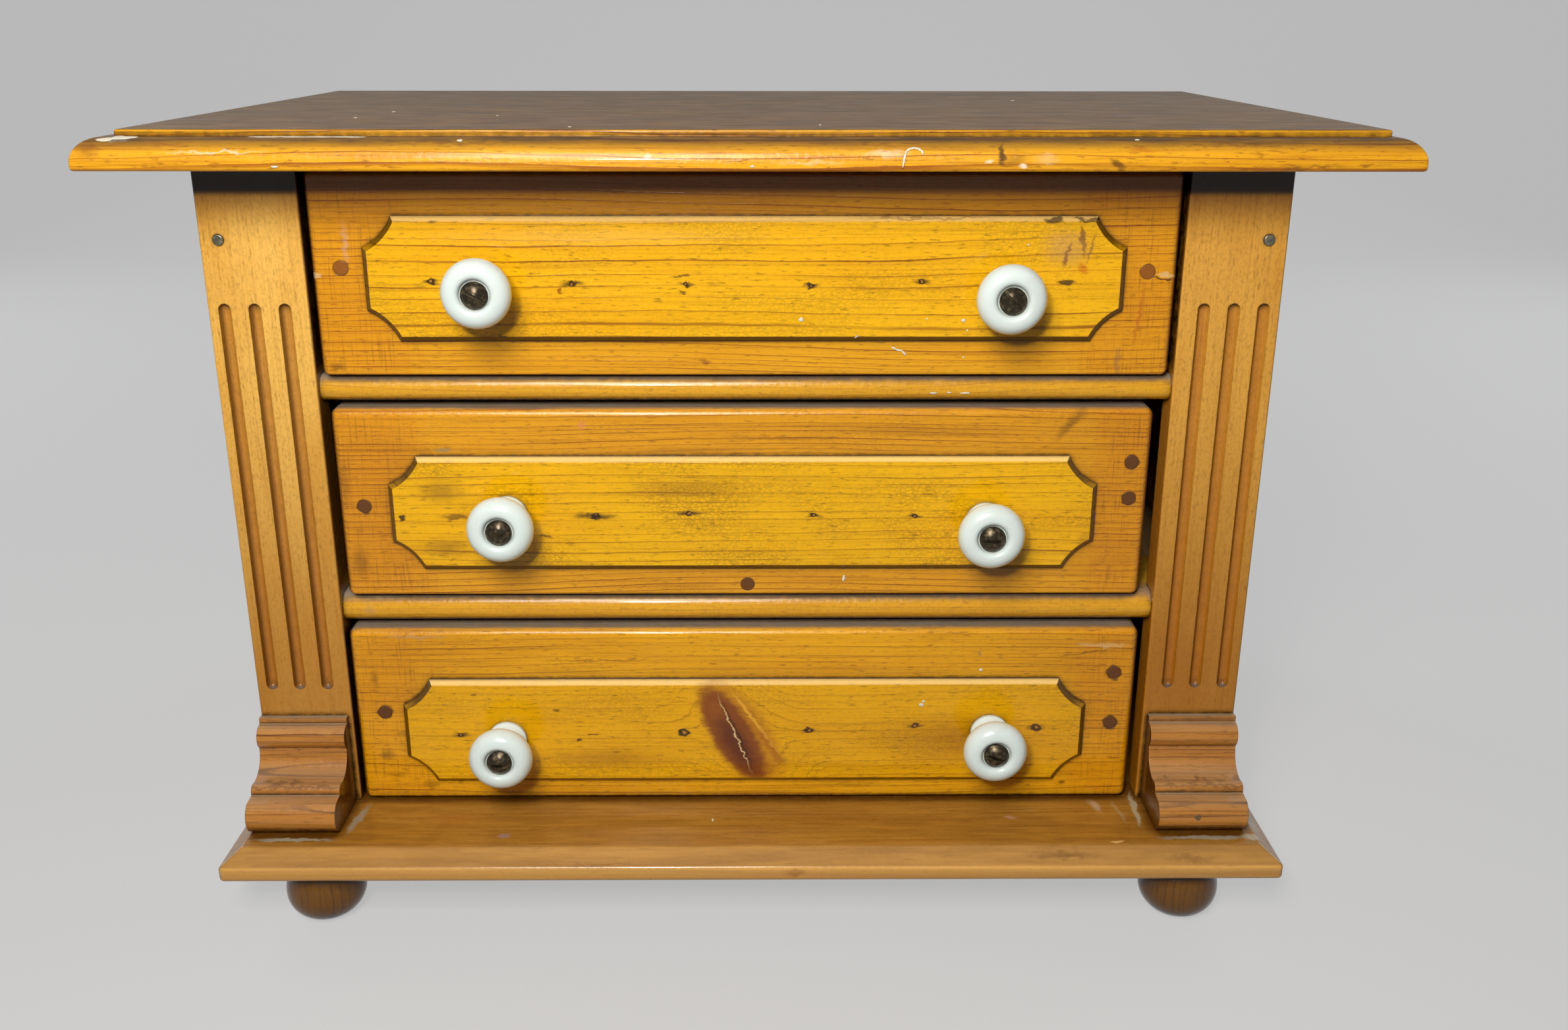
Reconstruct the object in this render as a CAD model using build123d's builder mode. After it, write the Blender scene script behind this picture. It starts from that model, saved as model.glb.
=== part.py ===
from build123d import *
import os
from dataclasses import dataclass

# A small desk-top chest of three drawers, in millimetres.
# Origin: middle of the overall footprint, on the surface that the feet stand on.
# +X is to the right, -Y is the front with the knobs, +Z is up.

os.makedirs("parts", exist_ok=True)

# ---------------------------------------------------------------- case
case_width = 393.0  # across the outer edges of the pilasters
case_depth = 244.5  # from the pilaster faces to the back
opening_height = 78.0  # clear height of each drawer opening
lower_rail_height = 12.0
upper_rail_height = 10.0
side_thickness = 12.0
back_thickness = 5.0
back_lap = 6.0  # width of the rabbet that the back panel sits in
back_fit = 0.3  # gap between the back panel and its rabbet

# ---------------------------------------------------------------- top board
top_side_overhang = 30.5  # past the outer edges of the pilasters, on average
top_shift = 2.7  # the case stands this far left of the top board's middle
top_overhang = 30.5  # past the pilaster faces
top_square_edge = 2.4  # upright edge under the ovolo
top_ovolo = 8.3  # radius of the quarter round
top_quirk = 2.2  # flat ledge above the quarter round
top_step = 2.3  # height of the raised field above the ledge
top_field_shift = 1.4  # the raised field lies a little to the right
top_field_round = 0.8
top_lower_round = 1.2

# ---------------------------------------------------------------- base board
base_side_overhang = 9.4
base_overhang = 43.1
base_shift = 1.7  # the base board lies this far right under the case
base_thickness = 11.4
base_bevel_width = 7.5  # the sloping face round the top
base_bevel_height = 5.4
base_round = 1.8  # rounding of its edges

# ---------------------------------------------------------------- feet
foot_height = 24.0
foot_diameter = 31.0
foot_sole = 15.0
foot_collar = 22.0  # diameter where the foot meets the base board
foot_belly = 11.0  # height of the widest part
foot_side_inset = 34.9  # from the ends of the base board
foot_front_inset = 19.0  # from the front edge of the base board
foot_rear_inset = 22.0
spigot_diameter = 10.0
spigot_length = 9.0
spigot_fit = 0.15

# ---------------------------------------------------------------- pilasters
pilaster_width = 37.0
pilaster_thickness = 12.0
pilaster_arris = 0.8
flute_count = 3
flute_width = 4.6
flute_pitch = 11.0
flute_shift = 1.4  # the flutes lie a little towards the outer edge
flute_margin = 50.2  # plain wood above and below the flutes

# ---------------------------------------------------------------- corbels
corbel_width = 35.0
corbel_height = 38.6
# Each point of the profile: how far it projects, and its height above the base board.
corbel_foot = 23.9
corbel_torus = 29.4  # belly of the lower torus
corbel_torus_rise = 8.2
corbel_lip = 26.2
corbel_lip_rise = 13.1
corbel_ledge = 20.2
corbel_ledge_rise = 13.9
corbel_bead = 19.8
corbel_bead_rise = 16.2
corbel_edge = 16.5  # lower edge of the cove
corbel_edge_rise = 17.1
corbel_cove = 9.0
corbel_cove_rise = 20.0
corbel_waist = 6.1
corbel_waist_rise = 27.2
corbel_roll = 8.0
corbel_roll_rise = 31.8
corbel_neck = 4.9
corbel_neck_rise = 35.9
corbel_cap = 2.7
corbel_cap_rise = 36.4

# ---------------------------------------------------------------- rails, runners, guides, stops
rail_setback = 2.0  # the rail noses lie this far behind the pilaster faces
rail_depth = 45.0
rail_round = 0.49  # radius of the nose, as a share of the rail's height
runner_width = 46.0
guide_width = 12.0
guide_height = 10.0
guide_gap = 0.5  # running gap beside each drawer
stop_height = 14.0
stop_length = 14.2
stop_gap = 0.3  # between a closed drawer and its stops

# ---------------------------------------------------------------- drawers
box_inset = 8.5  # the box is this much narrower than the opening, on each side
drawer_side_height = 62.0
drawer_lift = 0.3  # running gap under the box
box_thickness = 9.0
panel_thickness = 4.0
panel_rise = 6.0  # bottom panel above the lower edge of the sides
groove_depth = 4.0
groove_fit = 0.1
front_thickness = 15.0
front_height = 75.0
front_clearance = 1.0  # under the front
front_top_round = 3.0
front_arris = 1.2
front_corner = 3.2  # rounding of the four corners, seen from the front

top_front_gap = 2.0  # between the front and the pilasters, on each side
middle_front_gap = 4.5
bottom_front_gap = 2.7
middle_front_shift = -1.4
bottom_front_shift = -1.5

# ---------------------------------------------------------------- plaques
plaque_height = 45.4
plaque_thickness = 3.2
plaque_bevel = 1.9
plaque_scoop = 21.7  # radius of the hollow corners
plaque_scoop_offset = 8.7  # from each corner out to the middle of its hollow, both ways
top_plaque_width = 276.0
middle_plaque_width = 270.0
bottom_plaque_width = 274.0
top_plaque_rise = 13.3  # above the lower edge of the front
middle_plaque_rise = 11.5
bottom_plaque_rise = 8.6

# ---------------------------------------------------------------- knobs and their screws
top_knob_spacing = 188.6
middle_knob_spacing = 182.8
bottom_knob_spacing = 194.4
top_knob_rise = 32.9  # above the lower edge of the front
middle_knob_rise = 32.5
bottom_knob_rise = 29.6
top_knob_tilt = 2.1  # how much higher the left knob sits than the right one
middle_knob_tilt = 2.8
bottom_knob_tilt = -2.6
knob_diameter = 25.0
knob_flange = 15.7
knob_flange_thickness = 1.4
knob_neck = 12.2
knob_neck_length = 7.5
knob_shoulder = 10.8
knob_widest = 16.0
knob_length = 21.0
knob_rim = 15.0  # crest of the rounded face
knob_dish = 11.0
knob_seat = 18.9  # the screw head beds here
knob_neck_swell = 0.3
knob_throat = 1.2  # the neck widens by this much under the shoulder
knob_throat_drop = 1.0
knob_shoulder_overlap = 1.9
knob_dish_lip = 0.6
knob_dish_draft = 0.3
screw_diameter = 4.0
screw_fit = 0.25
screw_head = 9.8
screw_dome = 3.1
screw_edge = 0.8
screw_slot_width = 1.3
screw_slot_length = 12.0  # longer than the head is wide, so that the slot runs right across
screw_slot_depth = 1.5
screw_tail = 1.5
nut_width = 9.0
nut_thickness = 3.5
nut_fit = 0.05

# ---------------------------------------------------------------- pegs, nails and pins
peg_diameter = 5.4
peg_fit = 0.05
peg_bite = 12.0  # into the end of the drawer side
# Heights of the pegs above the lower edge of each front.
top_left_peg = 39.8
top_right_peg = 38.4
middle_left_peg = 36.6
middle_low_peg = 39.4
middle_high_peg = 53.9
bottom_left_peg = 38.8
bottom_low_peg = 33.6
bottom_high_peg = 55.9
plug_depth = 8.0
plug_drop = 1.0  # below the underside of the bottom panel
nail_head = 4.2
nail_head_height = 0.9
nail_head_round = 0.6
nail_shank = 1.8
nail_length = 24.0
nail_fit = 0.05
nail_inset = 7.0  # from the outer edge of the pilaster
nail_drop = 27.0  # below the top board
pin_head = 3.0
pin_head_height = 0.8
pin_shank = 1.4
pin_length = 14.0
pin_rows = 3
pin_margin = 24.0

# ---------------------------------------------------------------- levels and planes
front_y = (base_overhang - case_depth) / 2  # the pilaster faces
back_y = front_y + case_depth
base_top = foot_height + base_thickness
lower_floor = base_top + opening_height + lower_rail_height
upper_floor = lower_floor + opening_height + upper_rail_height
case_top = upper_floor + opening_height
case_half = case_width / 2
inner_half = case_half - side_thickness
opening_half = case_half - pilaster_width
opening_width = 2 * opening_half
top_width = case_width + 2 * top_side_overhang
base_width = case_width + 2 * base_side_overhang
foot_spacing = base_width - 2 * foot_side_inset
carcass_y = front_y + pilaster_thickness
panel_y = back_y - back_thickness
drawer_width = opening_width - 2 * box_inset
drawer_depth = case_depth - back_thickness - stop_length - stop_gap
box_half = drawer_width / 2
box_back_y = front_y + drawer_depth
plaque_y = front_y - plaque_thickness
screw_radius = screw_diameter / 2
hands = (("left", -1), ("right", 1))
floors = (base_top, lower_floor, upper_floor)


@dataclass(frozen=True)
class Drawer:
    """What differs from one drawer to the next."""

    name: str
    floor: float
    front_gap: float
    front_shift: float
    plaque_width: float
    plaque_rise: float
    knob_spacing: float
    knob_rise: float
    knob_tilt: float
    slot_angles: tuple
    peg_rises: tuple  # for each hand, heights above the lower edge of the front


top_drawer = Drawer(
    "top", upper_floor, top_front_gap, 0.0, top_plaque_width, top_plaque_rise,
    top_knob_spacing, top_knob_rise, top_knob_tilt, (28, 45), ((top_left_peg,), (top_right_peg,)),
)
middle_drawer = Drawer(
    "middle", lower_floor, middle_front_gap, middle_front_shift, middle_plaque_width,
    middle_plaque_rise, middle_knob_spacing, middle_knob_rise, middle_knob_tilt, (0, 0),
    ((middle_left_peg,), (middle_low_peg, middle_high_peg)),
)
bottom_drawer = Drawer(
    "bottom", base_top, bottom_front_gap, bottom_front_shift, bottom_plaque_width,
    bottom_plaque_rise, bottom_knob_spacing, bottom_knob_rise, bottom_knob_tilt, (0, 15),
    ((bottom_left_peg,), (bottom_low_peg, bottom_high_peg)),
)


def level(z):
    """Horizontal plane at a height, with its origin in the middle of the case."""
    return Plane(origin=(-top_shift, 0, z))


def upright(x, y, z):
    """Plane at a point of the case, seen from the front: local x to the right, local y up."""
    return Plane(origin=(x - top_shift, y, z), x_dir=(1, 0, 0), z_dir=(0, -1, 0))


def turning(x, y, z):
    """Plane at a point of the case, seen from above: local x to the right, local y forwards."""
    return Plane(origin=(x - top_shift, y, z), x_dir=(1, 0, 0), z_dir=(0, 0, -1))


# ================================================================ case
with BuildPart() as top_board:
    with BuildSketch(Plane.XY.offset(case_top)):
        with Locations((0, back_y)):
            Rectangle(top_width, case_depth + top_overhang, align=(Align.CENTER, Align.MAX))
    extrude(amount=top_square_edge + top_ovolo)
    upper_face = top_board.faces().sort_by(Axis.Z)[-1]
    fillet(upper_face.edges().sort_by(Axis.Y)[:-1], radius=top_ovolo)
    field_inset = top_ovolo + top_quirk
    with BuildSketch(Plane.XY.offset(case_top + top_square_edge + top_ovolo)):
        with Locations((top_field_shift, back_y)):
            Rectangle(
                top_width - 2 * field_inset,
                case_depth + top_overhang - field_inset,
                align=(Align.CENTER, Align.MAX),
            )
    extrude(amount=top_step)
    field_edges = top_board.faces().sort_by(Axis.Z)[-1].edges().sort_by(Axis.Y)[:-1]
    fillet(field_edges, radius=top_field_round)
    lower_edges = top_board.faces().sort_by(Axis.Z)[0].edges().sort_by(Axis.Y)[:-1]
    fillet(lower_edges, radius=top_lower_round)
top_board.part.label = "top_board"
export_step(top_board.part, "parts/top_board.step")

foot_front_y = front_y - base_overhang + foot_front_inset
foot_rear_y = back_y - foot_rear_inset
with BuildPart() as base_board:
    with BuildSketch(level(foot_height)):
        with Locations((base_shift, back_y)):
            Rectangle(base_width, case_depth + base_overhang, align=(Align.CENTER, Align.MAX))
    extrude(amount=base_thickness)
    upper_face = base_board.faces().sort_by(Axis.Z)[-1]
    chamfer(
        upper_face.edges().sort_by(Axis.Y)[:-1], length=base_bevel_width, length2=base_bevel_height,
        reference=upper_face,
    )
    rear_edges = base_board.faces().sort_by(Axis.Y)[-1].edges()
    fillet(base_board.edges() - rear_edges, radius=base_round)
    with BuildSketch(level(foot_height)):
        for foot_y in (foot_front_y, foot_rear_y):
            with Locations((base_shift, foot_y)):
                with GridLocations(foot_spacing, 0, 2, 1):
                    Circle(spigot_diameter / 2 + spigot_fit)
    extrude(amount=spigot_length + spigot_fit, mode=Mode.SUBTRACT)
base_board.part.label = "base_board"
export_step(base_board.part, "parts/base_board.step")

for hand, side in hands:
    for place, foot_y in (("front", foot_front_y), ("rear", foot_rear_y)):
        foot_x = base_shift + side * foot_spacing / 2
        with BuildPart() as foot:
            with BuildSketch(upright(foot_x, foot_y, 0)):
                with BuildLine():
                    Line((0, 0), (foot_sole / 2, 0))
                    TangentArc((foot_diameter / 2, foot_belly), (foot_sole / 2, 0), tangent=(0, -1))
                    TangentArc(
                        (foot_diameter / 2, foot_belly), (foot_collar / 2, foot_height), tangent=(0, 1)
                    )
                    Line((foot_collar / 2, foot_height), (spigot_diameter / 2, foot_height))
                    Line(
                        (spigot_diameter / 2, foot_height),
                        (spigot_diameter / 2, foot_height + spigot_length),
                    )
                    Line(
                        (spigot_diameter / 2, foot_height + spigot_length),
                        (0, foot_height + spigot_length),
                    )
                    Line((0, foot_height + spigot_length), (0, 0))
                make_face()
            revolve(axis=Axis(upright(foot_x, foot_y, 0).origin, (0, 0, 1)))
        foot.part.label = f"foot_{place}_{hand}"
        export_step(foot.part, f"parts/foot_{place}_{hand}.step")

# Small pins hold the back panel to the rabbets in the sides.
pin_span = case_top - base_top - 2 * pin_margin
pin_pitch = pin_span / (pin_rows - 1)
pin_x = inner_half + back_lap / 2
pin_mid = (base_top + case_top) / 2
nail_x = case_half - nail_inset
nail_z = case_top - nail_drop

for hand, side in hands:
    with BuildPart() as case_side:
        with BuildSketch(level(base_top)):
            with Locations((side * (case_half + inner_half) / 2, carcass_y)):
                Rectangle(side_thickness, back_y - carcass_y, align=(Align.CENTER, Align.MIN))
            with Locations((side * inner_half, panel_y)):
                Rectangle(
                    2 * back_lap, 2 * back_thickness, align=(Align.CENTER, Align.MIN),
                    mode=Mode.SUBTRACT,
                )
        extrude(amount=case_top - base_top)
        with BuildSketch(upright(side * pin_x, panel_y, pin_mid)):
            with GridLocations(0, pin_pitch, 1, pin_rows):
                Circle(pin_shank / 2 + nail_fit)
        extrude(amount=pin_length - back_thickness + nail_fit, mode=Mode.SUBTRACT)
        with BuildSketch(upright(side * nail_x, carcass_y, nail_z)):
            Circle(nail_shank / 2 + nail_fit)
        extrude(amount=-(nail_length - pilaster_thickness + nail_fit), mode=Mode.SUBTRACT)
    case_side.part.label = f"side_{hand}"
    export_step(case_side.part, f"parts/side_{hand}.step")

with BuildPart() as back_panel:
    with BuildSketch(level(base_top)):
        with Locations((0, back_y)):
            Rectangle(
                2 * (inner_half + back_lap - back_fit), back_thickness,
                align=(Align.CENTER, Align.MAX),
            )
    extrude(amount=case_top - base_top)
    with BuildSketch(upright(0, back_y, pin_mid)):
        with GridLocations(2 * pin_x, pin_pitch, 2, pin_rows):
            Circle(pin_shank / 2 + nail_fit)
    extrude(amount=back_thickness, mode=Mode.SUBTRACT)
    with BuildSketch(upright(0, back_y, pin_mid)):
        with GridLocations(2 * pin_x, pin_pitch, 2, pin_rows):
            Circle(pin_head / 2 + nail_fit)
    extrude(amount=pin_head_height, mode=Mode.SUBTRACT)
back_panel.part.label = "back_panel"
export_step(back_panel.part, "parts/back_panel.step")

with BuildPart() as back_pins:
    with BuildSketch(upright(0, back_y, pin_mid)):
        with GridLocations(2 * pin_x, pin_pitch, 2, pin_rows):
            Circle(pin_head / 2)
    extrude(amount=pin_head_height)
    with BuildSketch(upright(0, back_y, pin_mid)):
        with GridLocations(2 * pin_x, pin_pitch, 2, pin_rows):
            Circle(pin_shank / 2)
    extrude(amount=pin_length)
back_pins.part.label = "back_panel_pins"
export_step(back_pins.part, "parts/back_panel_pins.step")

# ================================================================ pilasters and corbels
flute_length = case_top - base_top - 2 * flute_margin - flute_width
for hand, side in hands:
    pilaster_x = side * (case_half - pilaster_width / 2)
    with BuildPart() as pilaster:
        with BuildSketch(level(base_top)):
            with Locations((pilaster_x, front_y)):
                Rectangle(pilaster_width, pilaster_thickness, align=(Align.CENTER, Align.MIN))
        extrude(amount=case_top - base_top)
        fillet(pilaster.edges().filter_by(Axis.Z).group_by(Axis.Y)[0], radius=pilaster_arris)
        flute_centre = Location((pilaster_x + side * flute_shift - top_shift, front_y, pin_mid))
        with Locations(flute_centre):
            with GridLocations(flute_pitch, 0, flute_count, 1):
                Cylinder(flute_width / 2, flute_length, mode=Mode.SUBTRACT)
                with Locations((0, 0, flute_length / 2), (0, 0, -flute_length / 2)):
                    Sphere(flute_width / 2, mode=Mode.SUBTRACT)
        with BuildSketch(upright(side * nail_x, front_y, nail_z)):
            Circle(nail_shank / 2 + nail_fit)
        extrude(amount=-pilaster_thickness, mode=Mode.SUBTRACT)
    pilaster.part.label = f"pilaster_{hand}"
    export_step(pilaster.part, f"parts/pilaster_{hand}.step")

for hand, side in hands:
    # The moulding runs from one end face to the other, its profile seen from the side.
    end_x = case_half if side > 0 else corbel_width - case_half
    end_origin = (end_x - top_shift, front_y, base_top)
    end_plane = Plane(origin=end_origin, x_dir=(0, -1, 0), z_dir=(-1, 0, 0))
    with BuildPart() as corbel:
        with BuildSketch(end_plane):
            with BuildLine():
                Line((0, 0), (corbel_foot, 0))
                ThreePointArc(
                    (corbel_foot, 0), (corbel_torus, corbel_torus_rise), (corbel_lip, corbel_lip_rise)
                )
                Line((corbel_lip, corbel_lip_rise), (corbel_ledge, corbel_ledge_rise))
                ThreePointArc(
                    (corbel_ledge, corbel_ledge_rise),
                    (corbel_bead, corbel_bead_rise),
                    (corbel_edge, corbel_edge_rise),
                )
                ThreePointArc(
                    (corbel_edge, corbel_edge_rise),
                    (corbel_cove, corbel_cove_rise),
                    (corbel_waist, corbel_waist_rise),
                )
                ThreePointArc(
                    (corbel_waist, corbel_waist_rise),
                    (corbel_roll, corbel_roll_rise),
                    (corbel_neck, corbel_neck_rise),
                )
                Line((corbel_neck, corbel_neck_rise), (corbel_cap, corbel_cap_rise))
                Line((corbel_cap, corbel_cap_rise), (corbel_cap, corbel_height))
                Line((corbel_cap, corbel_height), (0, corbel_height))
                Line((0, corbel_height), (0, 0))
            make_face()
        extrude(amount=corbel_width)
    corbel.part.label = f"corbel_{hand}"
    export_step(corbel.part, f"parts/corbel_{hand}.step")

with BuildPart() as pilaster_nails:
    with BuildSketch(upright(0, front_y, nail_z)):
        with GridLocations(2 * nail_x, 0, 2, 1):
            Circle(nail_shank / 2)
    extrude(amount=-nail_length)
    with BuildSketch(upright(0, front_y, nail_z)):
        with GridLocations(2 * nail_x, 0, 2, 1):
            Circle(nail_head / 2)
    extrude(amount=nail_head_height)
    fillet(
        pilaster_nails.edges().filter_by(GeomType.CIRCLE).group_by(Axis.Y)[0],
        radius=nail_head_round,
    )
pilaster_nails.part.label = "pilaster_nails"
export_step(pilaster_nails.part, "parts/pilaster_nails.step")

# ================================================================ rails, runners, guides, stops
for name, floor, height in (
    ("lower", lower_floor, lower_rail_height),
    ("upper", upper_floor, upper_rail_height),
):
    with BuildPart() as rail:
        with BuildSketch(level(floor - height)):
            with Locations((0, carcass_y)):
                Rectangle(
                    2 * inner_half, rail_depth - pilaster_thickness, align=(Align.CENTER, Align.MIN)
                )
            with Locations((0, front_y + rail_setback)):
                Rectangle(
                    2 * opening_half, pilaster_thickness - rail_setback,
                    align=(Align.CENTER, Align.MIN),
                )
        extrude(amount=height)
        fillet(rail.edges().filter_by(Axis.X).group_by(Axis.Y)[0], radius=height * rail_round)
    rail.part.label = f"rail_{name}"
    export_step(rail.part, f"parts/rail_{name}.step")

    for hand, side in hands:
        with BuildPart() as runner:
            with BuildSketch(level(floor - height)):
                with Locations((side * (inner_half - runner_width / 2), front_y + rail_depth)):
                    Rectangle(
                        runner_width, panel_y - front_y - rail_depth,
                        align=(Align.CENTER, Align.MIN),
                    )
            extrude(amount=height)
        runner.part.label = f"runner_{name}_{hand}"
        export_step(runner.part, f"parts/runner_{name}_{hand}.step")

for hand, side in hands:
    guide_x = side * (box_half + guide_gap + guide_width / 2)
    with BuildPart() as guides:
        for floor in floors:
            with BuildSketch(level(floor)):
                with Locations((guide_x, front_y + rail_depth)):
                    Rectangle(
                        guide_width, panel_y - front_y - rail_depth, align=(Align.CENTER, Align.MIN)
                    )
            extrude(amount=guide_height)
    guides.part.label = f"drawer_guides_{hand}"
    export_step(guides.part, f"parts/drawer_guides_{hand}.step")

with BuildPart() as stops:
    for floor in floors:
        with BuildSketch(level(floor)):
            with Locations((0, panel_y)):
                with GridLocations(drawer_width - box_thickness, 0, 2, 1):
                    Rectangle(
                        box_thickness, panel_y - box_back_y - stop_gap,
                        align=(Align.CENTER, Align.MAX),
                    )
        extrude(amount=stop_height)
stops.part.label = "drawer_stops"
export_step(stops.part, "parts/drawer_stops.step")

# ================================================================ drawers
peg_half = box_half - box_thickness / 2
hole_radius = screw_radius + screw_fit

for drawer in (top_drawer, middle_drawer, bottom_drawer):
    sill = drawer.floor + front_clearance
    box_floor = drawer.floor + drawer_lift
    panel_floor = box_floor + panel_rise
    groove_height = panel_thickness + 2 * groove_fit
    groove_mid = panel_floor + panel_thickness / 2
    knob_z = sill + drawer.knob_rise
    knob_spots = [(side * drawer.knob_spacing / 2, -side * drawer.knob_tilt / 2) for _, side in hands]
    plaque_mid = sill + drawer.plaque_rise + plaque_height / 2
    has_plug = drawer is middle_drawer
    plug_z = panel_floor - plug_drop

    with BuildPart() as front:
        with BuildSketch(level(sill)):
            with Locations((drawer.front_shift, front_y)):
                Rectangle(
                    opening_width - 2 * drawer.front_gap, front_thickness,
                    align=(Align.CENTER, Align.MIN),
                )
        extrude(amount=front_height)
        face_edges = front.faces().sort_by(Axis.Y)[0].edges()
        fillet(face_edges.sort_by(Axis.Z)[-1], radius=front_top_round)
        fillet(front.edges().filter_by(Axis.Y), radius=front_corner)
        face_edges = front.faces().sort_by(Axis.Y)[0].edges()
        fillet(face_edges.sort_by(Axis.Z)[:-1], radius=front_arris)
        with BuildSketch(upright(0, front_y + front_thickness, groove_mid)):
            Rectangle(drawer_width - 2 * (box_thickness - groove_depth), groove_height)
        extrude(amount=groove_depth, mode=Mode.SUBTRACT)
        with BuildSketch(upright(0, front_y, knob_z)):
            with Locations(*knob_spots):
                Circle(hole_radius)
        extrude(amount=-front_thickness, mode=Mode.SUBTRACT)
        for (hand, side), rises in zip(hands, drawer.peg_rises):
            for rise in rises:
                with BuildSketch(upright(side * peg_half, front_y, sill + rise)):
                    Circle(peg_diameter / 2 + peg_fit)
                extrude(amount=-front_thickness, mode=Mode.SUBTRACT)
        if has_plug:
            with BuildSketch(upright(0, front_y, plug_z)):
                Circle(peg_diameter / 2 + peg_fit)
            extrude(amount=-plug_depth, mode=Mode.SUBTRACT)
    front.part.label = f"{drawer.name}_front"
    export_step(front.part, f"parts/{drawer.name}_front.step")

    with BuildPart() as plaque:
        with BuildSketch(upright(drawer.front_shift, front_y, plaque_mid)):
            Rectangle(drawer.plaque_width, plaque_height)
            with GridLocations(
                drawer.plaque_width + 2 * plaque_scoop_offset,
                plaque_height + 2 * plaque_scoop_offset, 2, 2,
            ):
                Circle(plaque_scoop, mode=Mode.SUBTRACT)
        extrude(amount=plaque_thickness)
        chamfer(plaque.faces().sort_by(Axis.Y)[0].edges(), length=plaque_bevel)
        with BuildSketch(upright(0, front_y, knob_z)):
            with Locations(*knob_spots):
                Circle(hole_radius)
        extrude(amount=plaque_thickness, mode=Mode.SUBTRACT)
    plaque.part.label = f"{drawer.name}_plaque"
    export_step(plaque.part, f"parts/{drawer.name}_plaque.step")

    with BuildPart() as pegs:
        for (hand, side), rises in zip(hands, drawer.peg_rises):
            for rise in rises:
                with BuildSketch(upright(side * peg_half, front_y, sill + rise)):
                    Circle(peg_diameter / 2)
                extrude(amount=-(front_thickness + peg_bite))
        if has_plug:
            with BuildSketch(upright(0, front_y, plug_z)):
                Circle(peg_diameter / 2)
            extrude(amount=-plug_depth)
    pegs.part.label = f"{drawer.name}_front_pegs"
    export_step(pegs.part, f"parts/{drawer.name}_front_pegs.step")

    for (hand, side), rises in zip(hands, drawer.peg_rises):
        with BuildPart() as box_side:
            with BuildSketch(level(box_floor)):
                with Locations((side * peg_half, front_y + front_thickness)):
                    Rectangle(
                        box_thickness, drawer_depth - front_thickness,
                        align=(Align.CENTER, Align.MIN),
                    )
            extrude(amount=drawer_side_height)
            with BuildSketch(upright(side * (box_half - box_thickness), box_back_y, groove_mid)):
                Rectangle(2 * groove_depth, groove_height)
            extrude(amount=drawer_depth - front_thickness, mode=Mode.SUBTRACT)
            for rise in rises:
                with BuildSketch(upright(side * peg_half, front_y + front_thickness, sill + rise)):
                    Circle(peg_diameter / 2 + peg_fit)
                extrude(amount=-(peg_bite + peg_fit), mode=Mode.SUBTRACT)
        box_side.part.label = f"{drawer.name}_side_{hand}"
        export_step(box_side.part, f"parts/{drawer.name}_side_{hand}.step")

    back_floor = panel_floor + panel_thickness + groove_fit
    with BuildPart() as box_back:
        with BuildSketch(level(back_floor)):
            with Locations((0, box_back_y)):
                Rectangle(
                    drawer_width - 2 * box_thickness, box_thickness, align=(Align.CENTER, Align.MAX)
                )
        extrude(amount=box_floor + drawer_side_height - back_floor)
    box_back.part.label = f"{drawer.name}_back"
    export_step(box_back.part, f"parts/{drawer.name}_back.step")

    with BuildPart() as panel:
        with BuildSketch(level(panel_floor)):
            with Locations((0, box_back_y)):
                Rectangle(
                    drawer_width - 2 * (box_thickness - groove_depth + groove_fit),
                    drawer_depth - front_thickness + groove_depth - groove_fit,
                    align=(Align.CENTER, Align.MAX),
                )
        extrude(amount=panel_thickness)
    panel.part.label = f"{drawer.name}_bottom"
    export_step(panel.part, f"parts/{drawer.name}_bottom.step")

    for (hand, side), (knob_x, knob_offset) in zip(hands, knob_spots):
        knob_plane = turning(knob_x, plaque_y, knob_z + knob_offset)
        with BuildPart() as knob:
            with BuildSketch(knob_plane):
                with BuildLine():
                    Line((hole_radius, 0), (knob_flange / 2, 0))
                    Line((knob_flange / 2, 0), (knob_flange / 2, knob_flange_thickness))
                    ThreePointArc(
                        (knob_flange / 2, knob_flange_thickness),
                        (knob_neck / 2 + knob_neck_swell, knob_neck_length / 2),
                        (knob_neck / 2, knob_neck_length),
                    )
                    ThreePointArc(
                        (knob_neck / 2, knob_neck_length),
                        (knob_neck / 2 + knob_throat, knob_shoulder - knob_throat_drop),
                        (knob_rim / 2 + knob_shoulder_overlap, knob_shoulder),
                    )
                    TangentArc(
                        (knob_diameter / 2, knob_widest),
                        (knob_rim / 2 + knob_shoulder_overlap, knob_shoulder),
                        tangent=(0, -1),
                    )
                    TangentArc(
                        (knob_diameter / 2, knob_widest), (knob_rim / 2, knob_length), tangent=(0, 1)
                    )
                    TangentArc(
                        (knob_rim / 2, knob_length), (knob_dish / 2, knob_seat + knob_dish_lip),
                        tangent=(-1, 0),
                    )
                    Line(
                        (knob_dish / 2, knob_seat + knob_dish_lip),
                        (knob_dish / 2 - knob_dish_draft, knob_seat),
                    )
                    Line((knob_dish / 2 - knob_dish_draft, knob_seat), (hole_radius, knob_seat))
                    Line((hole_radius, knob_seat), (hole_radius, 0))
                make_face()
            revolve(axis=Axis(knob_plane.origin, (0, -1, 0)))
        knob.part.label = f"{drawer.name}_knob_{hand}"
        export_step(knob.part, f"parts/{drawer.name}_knob_{hand}.step")

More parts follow.
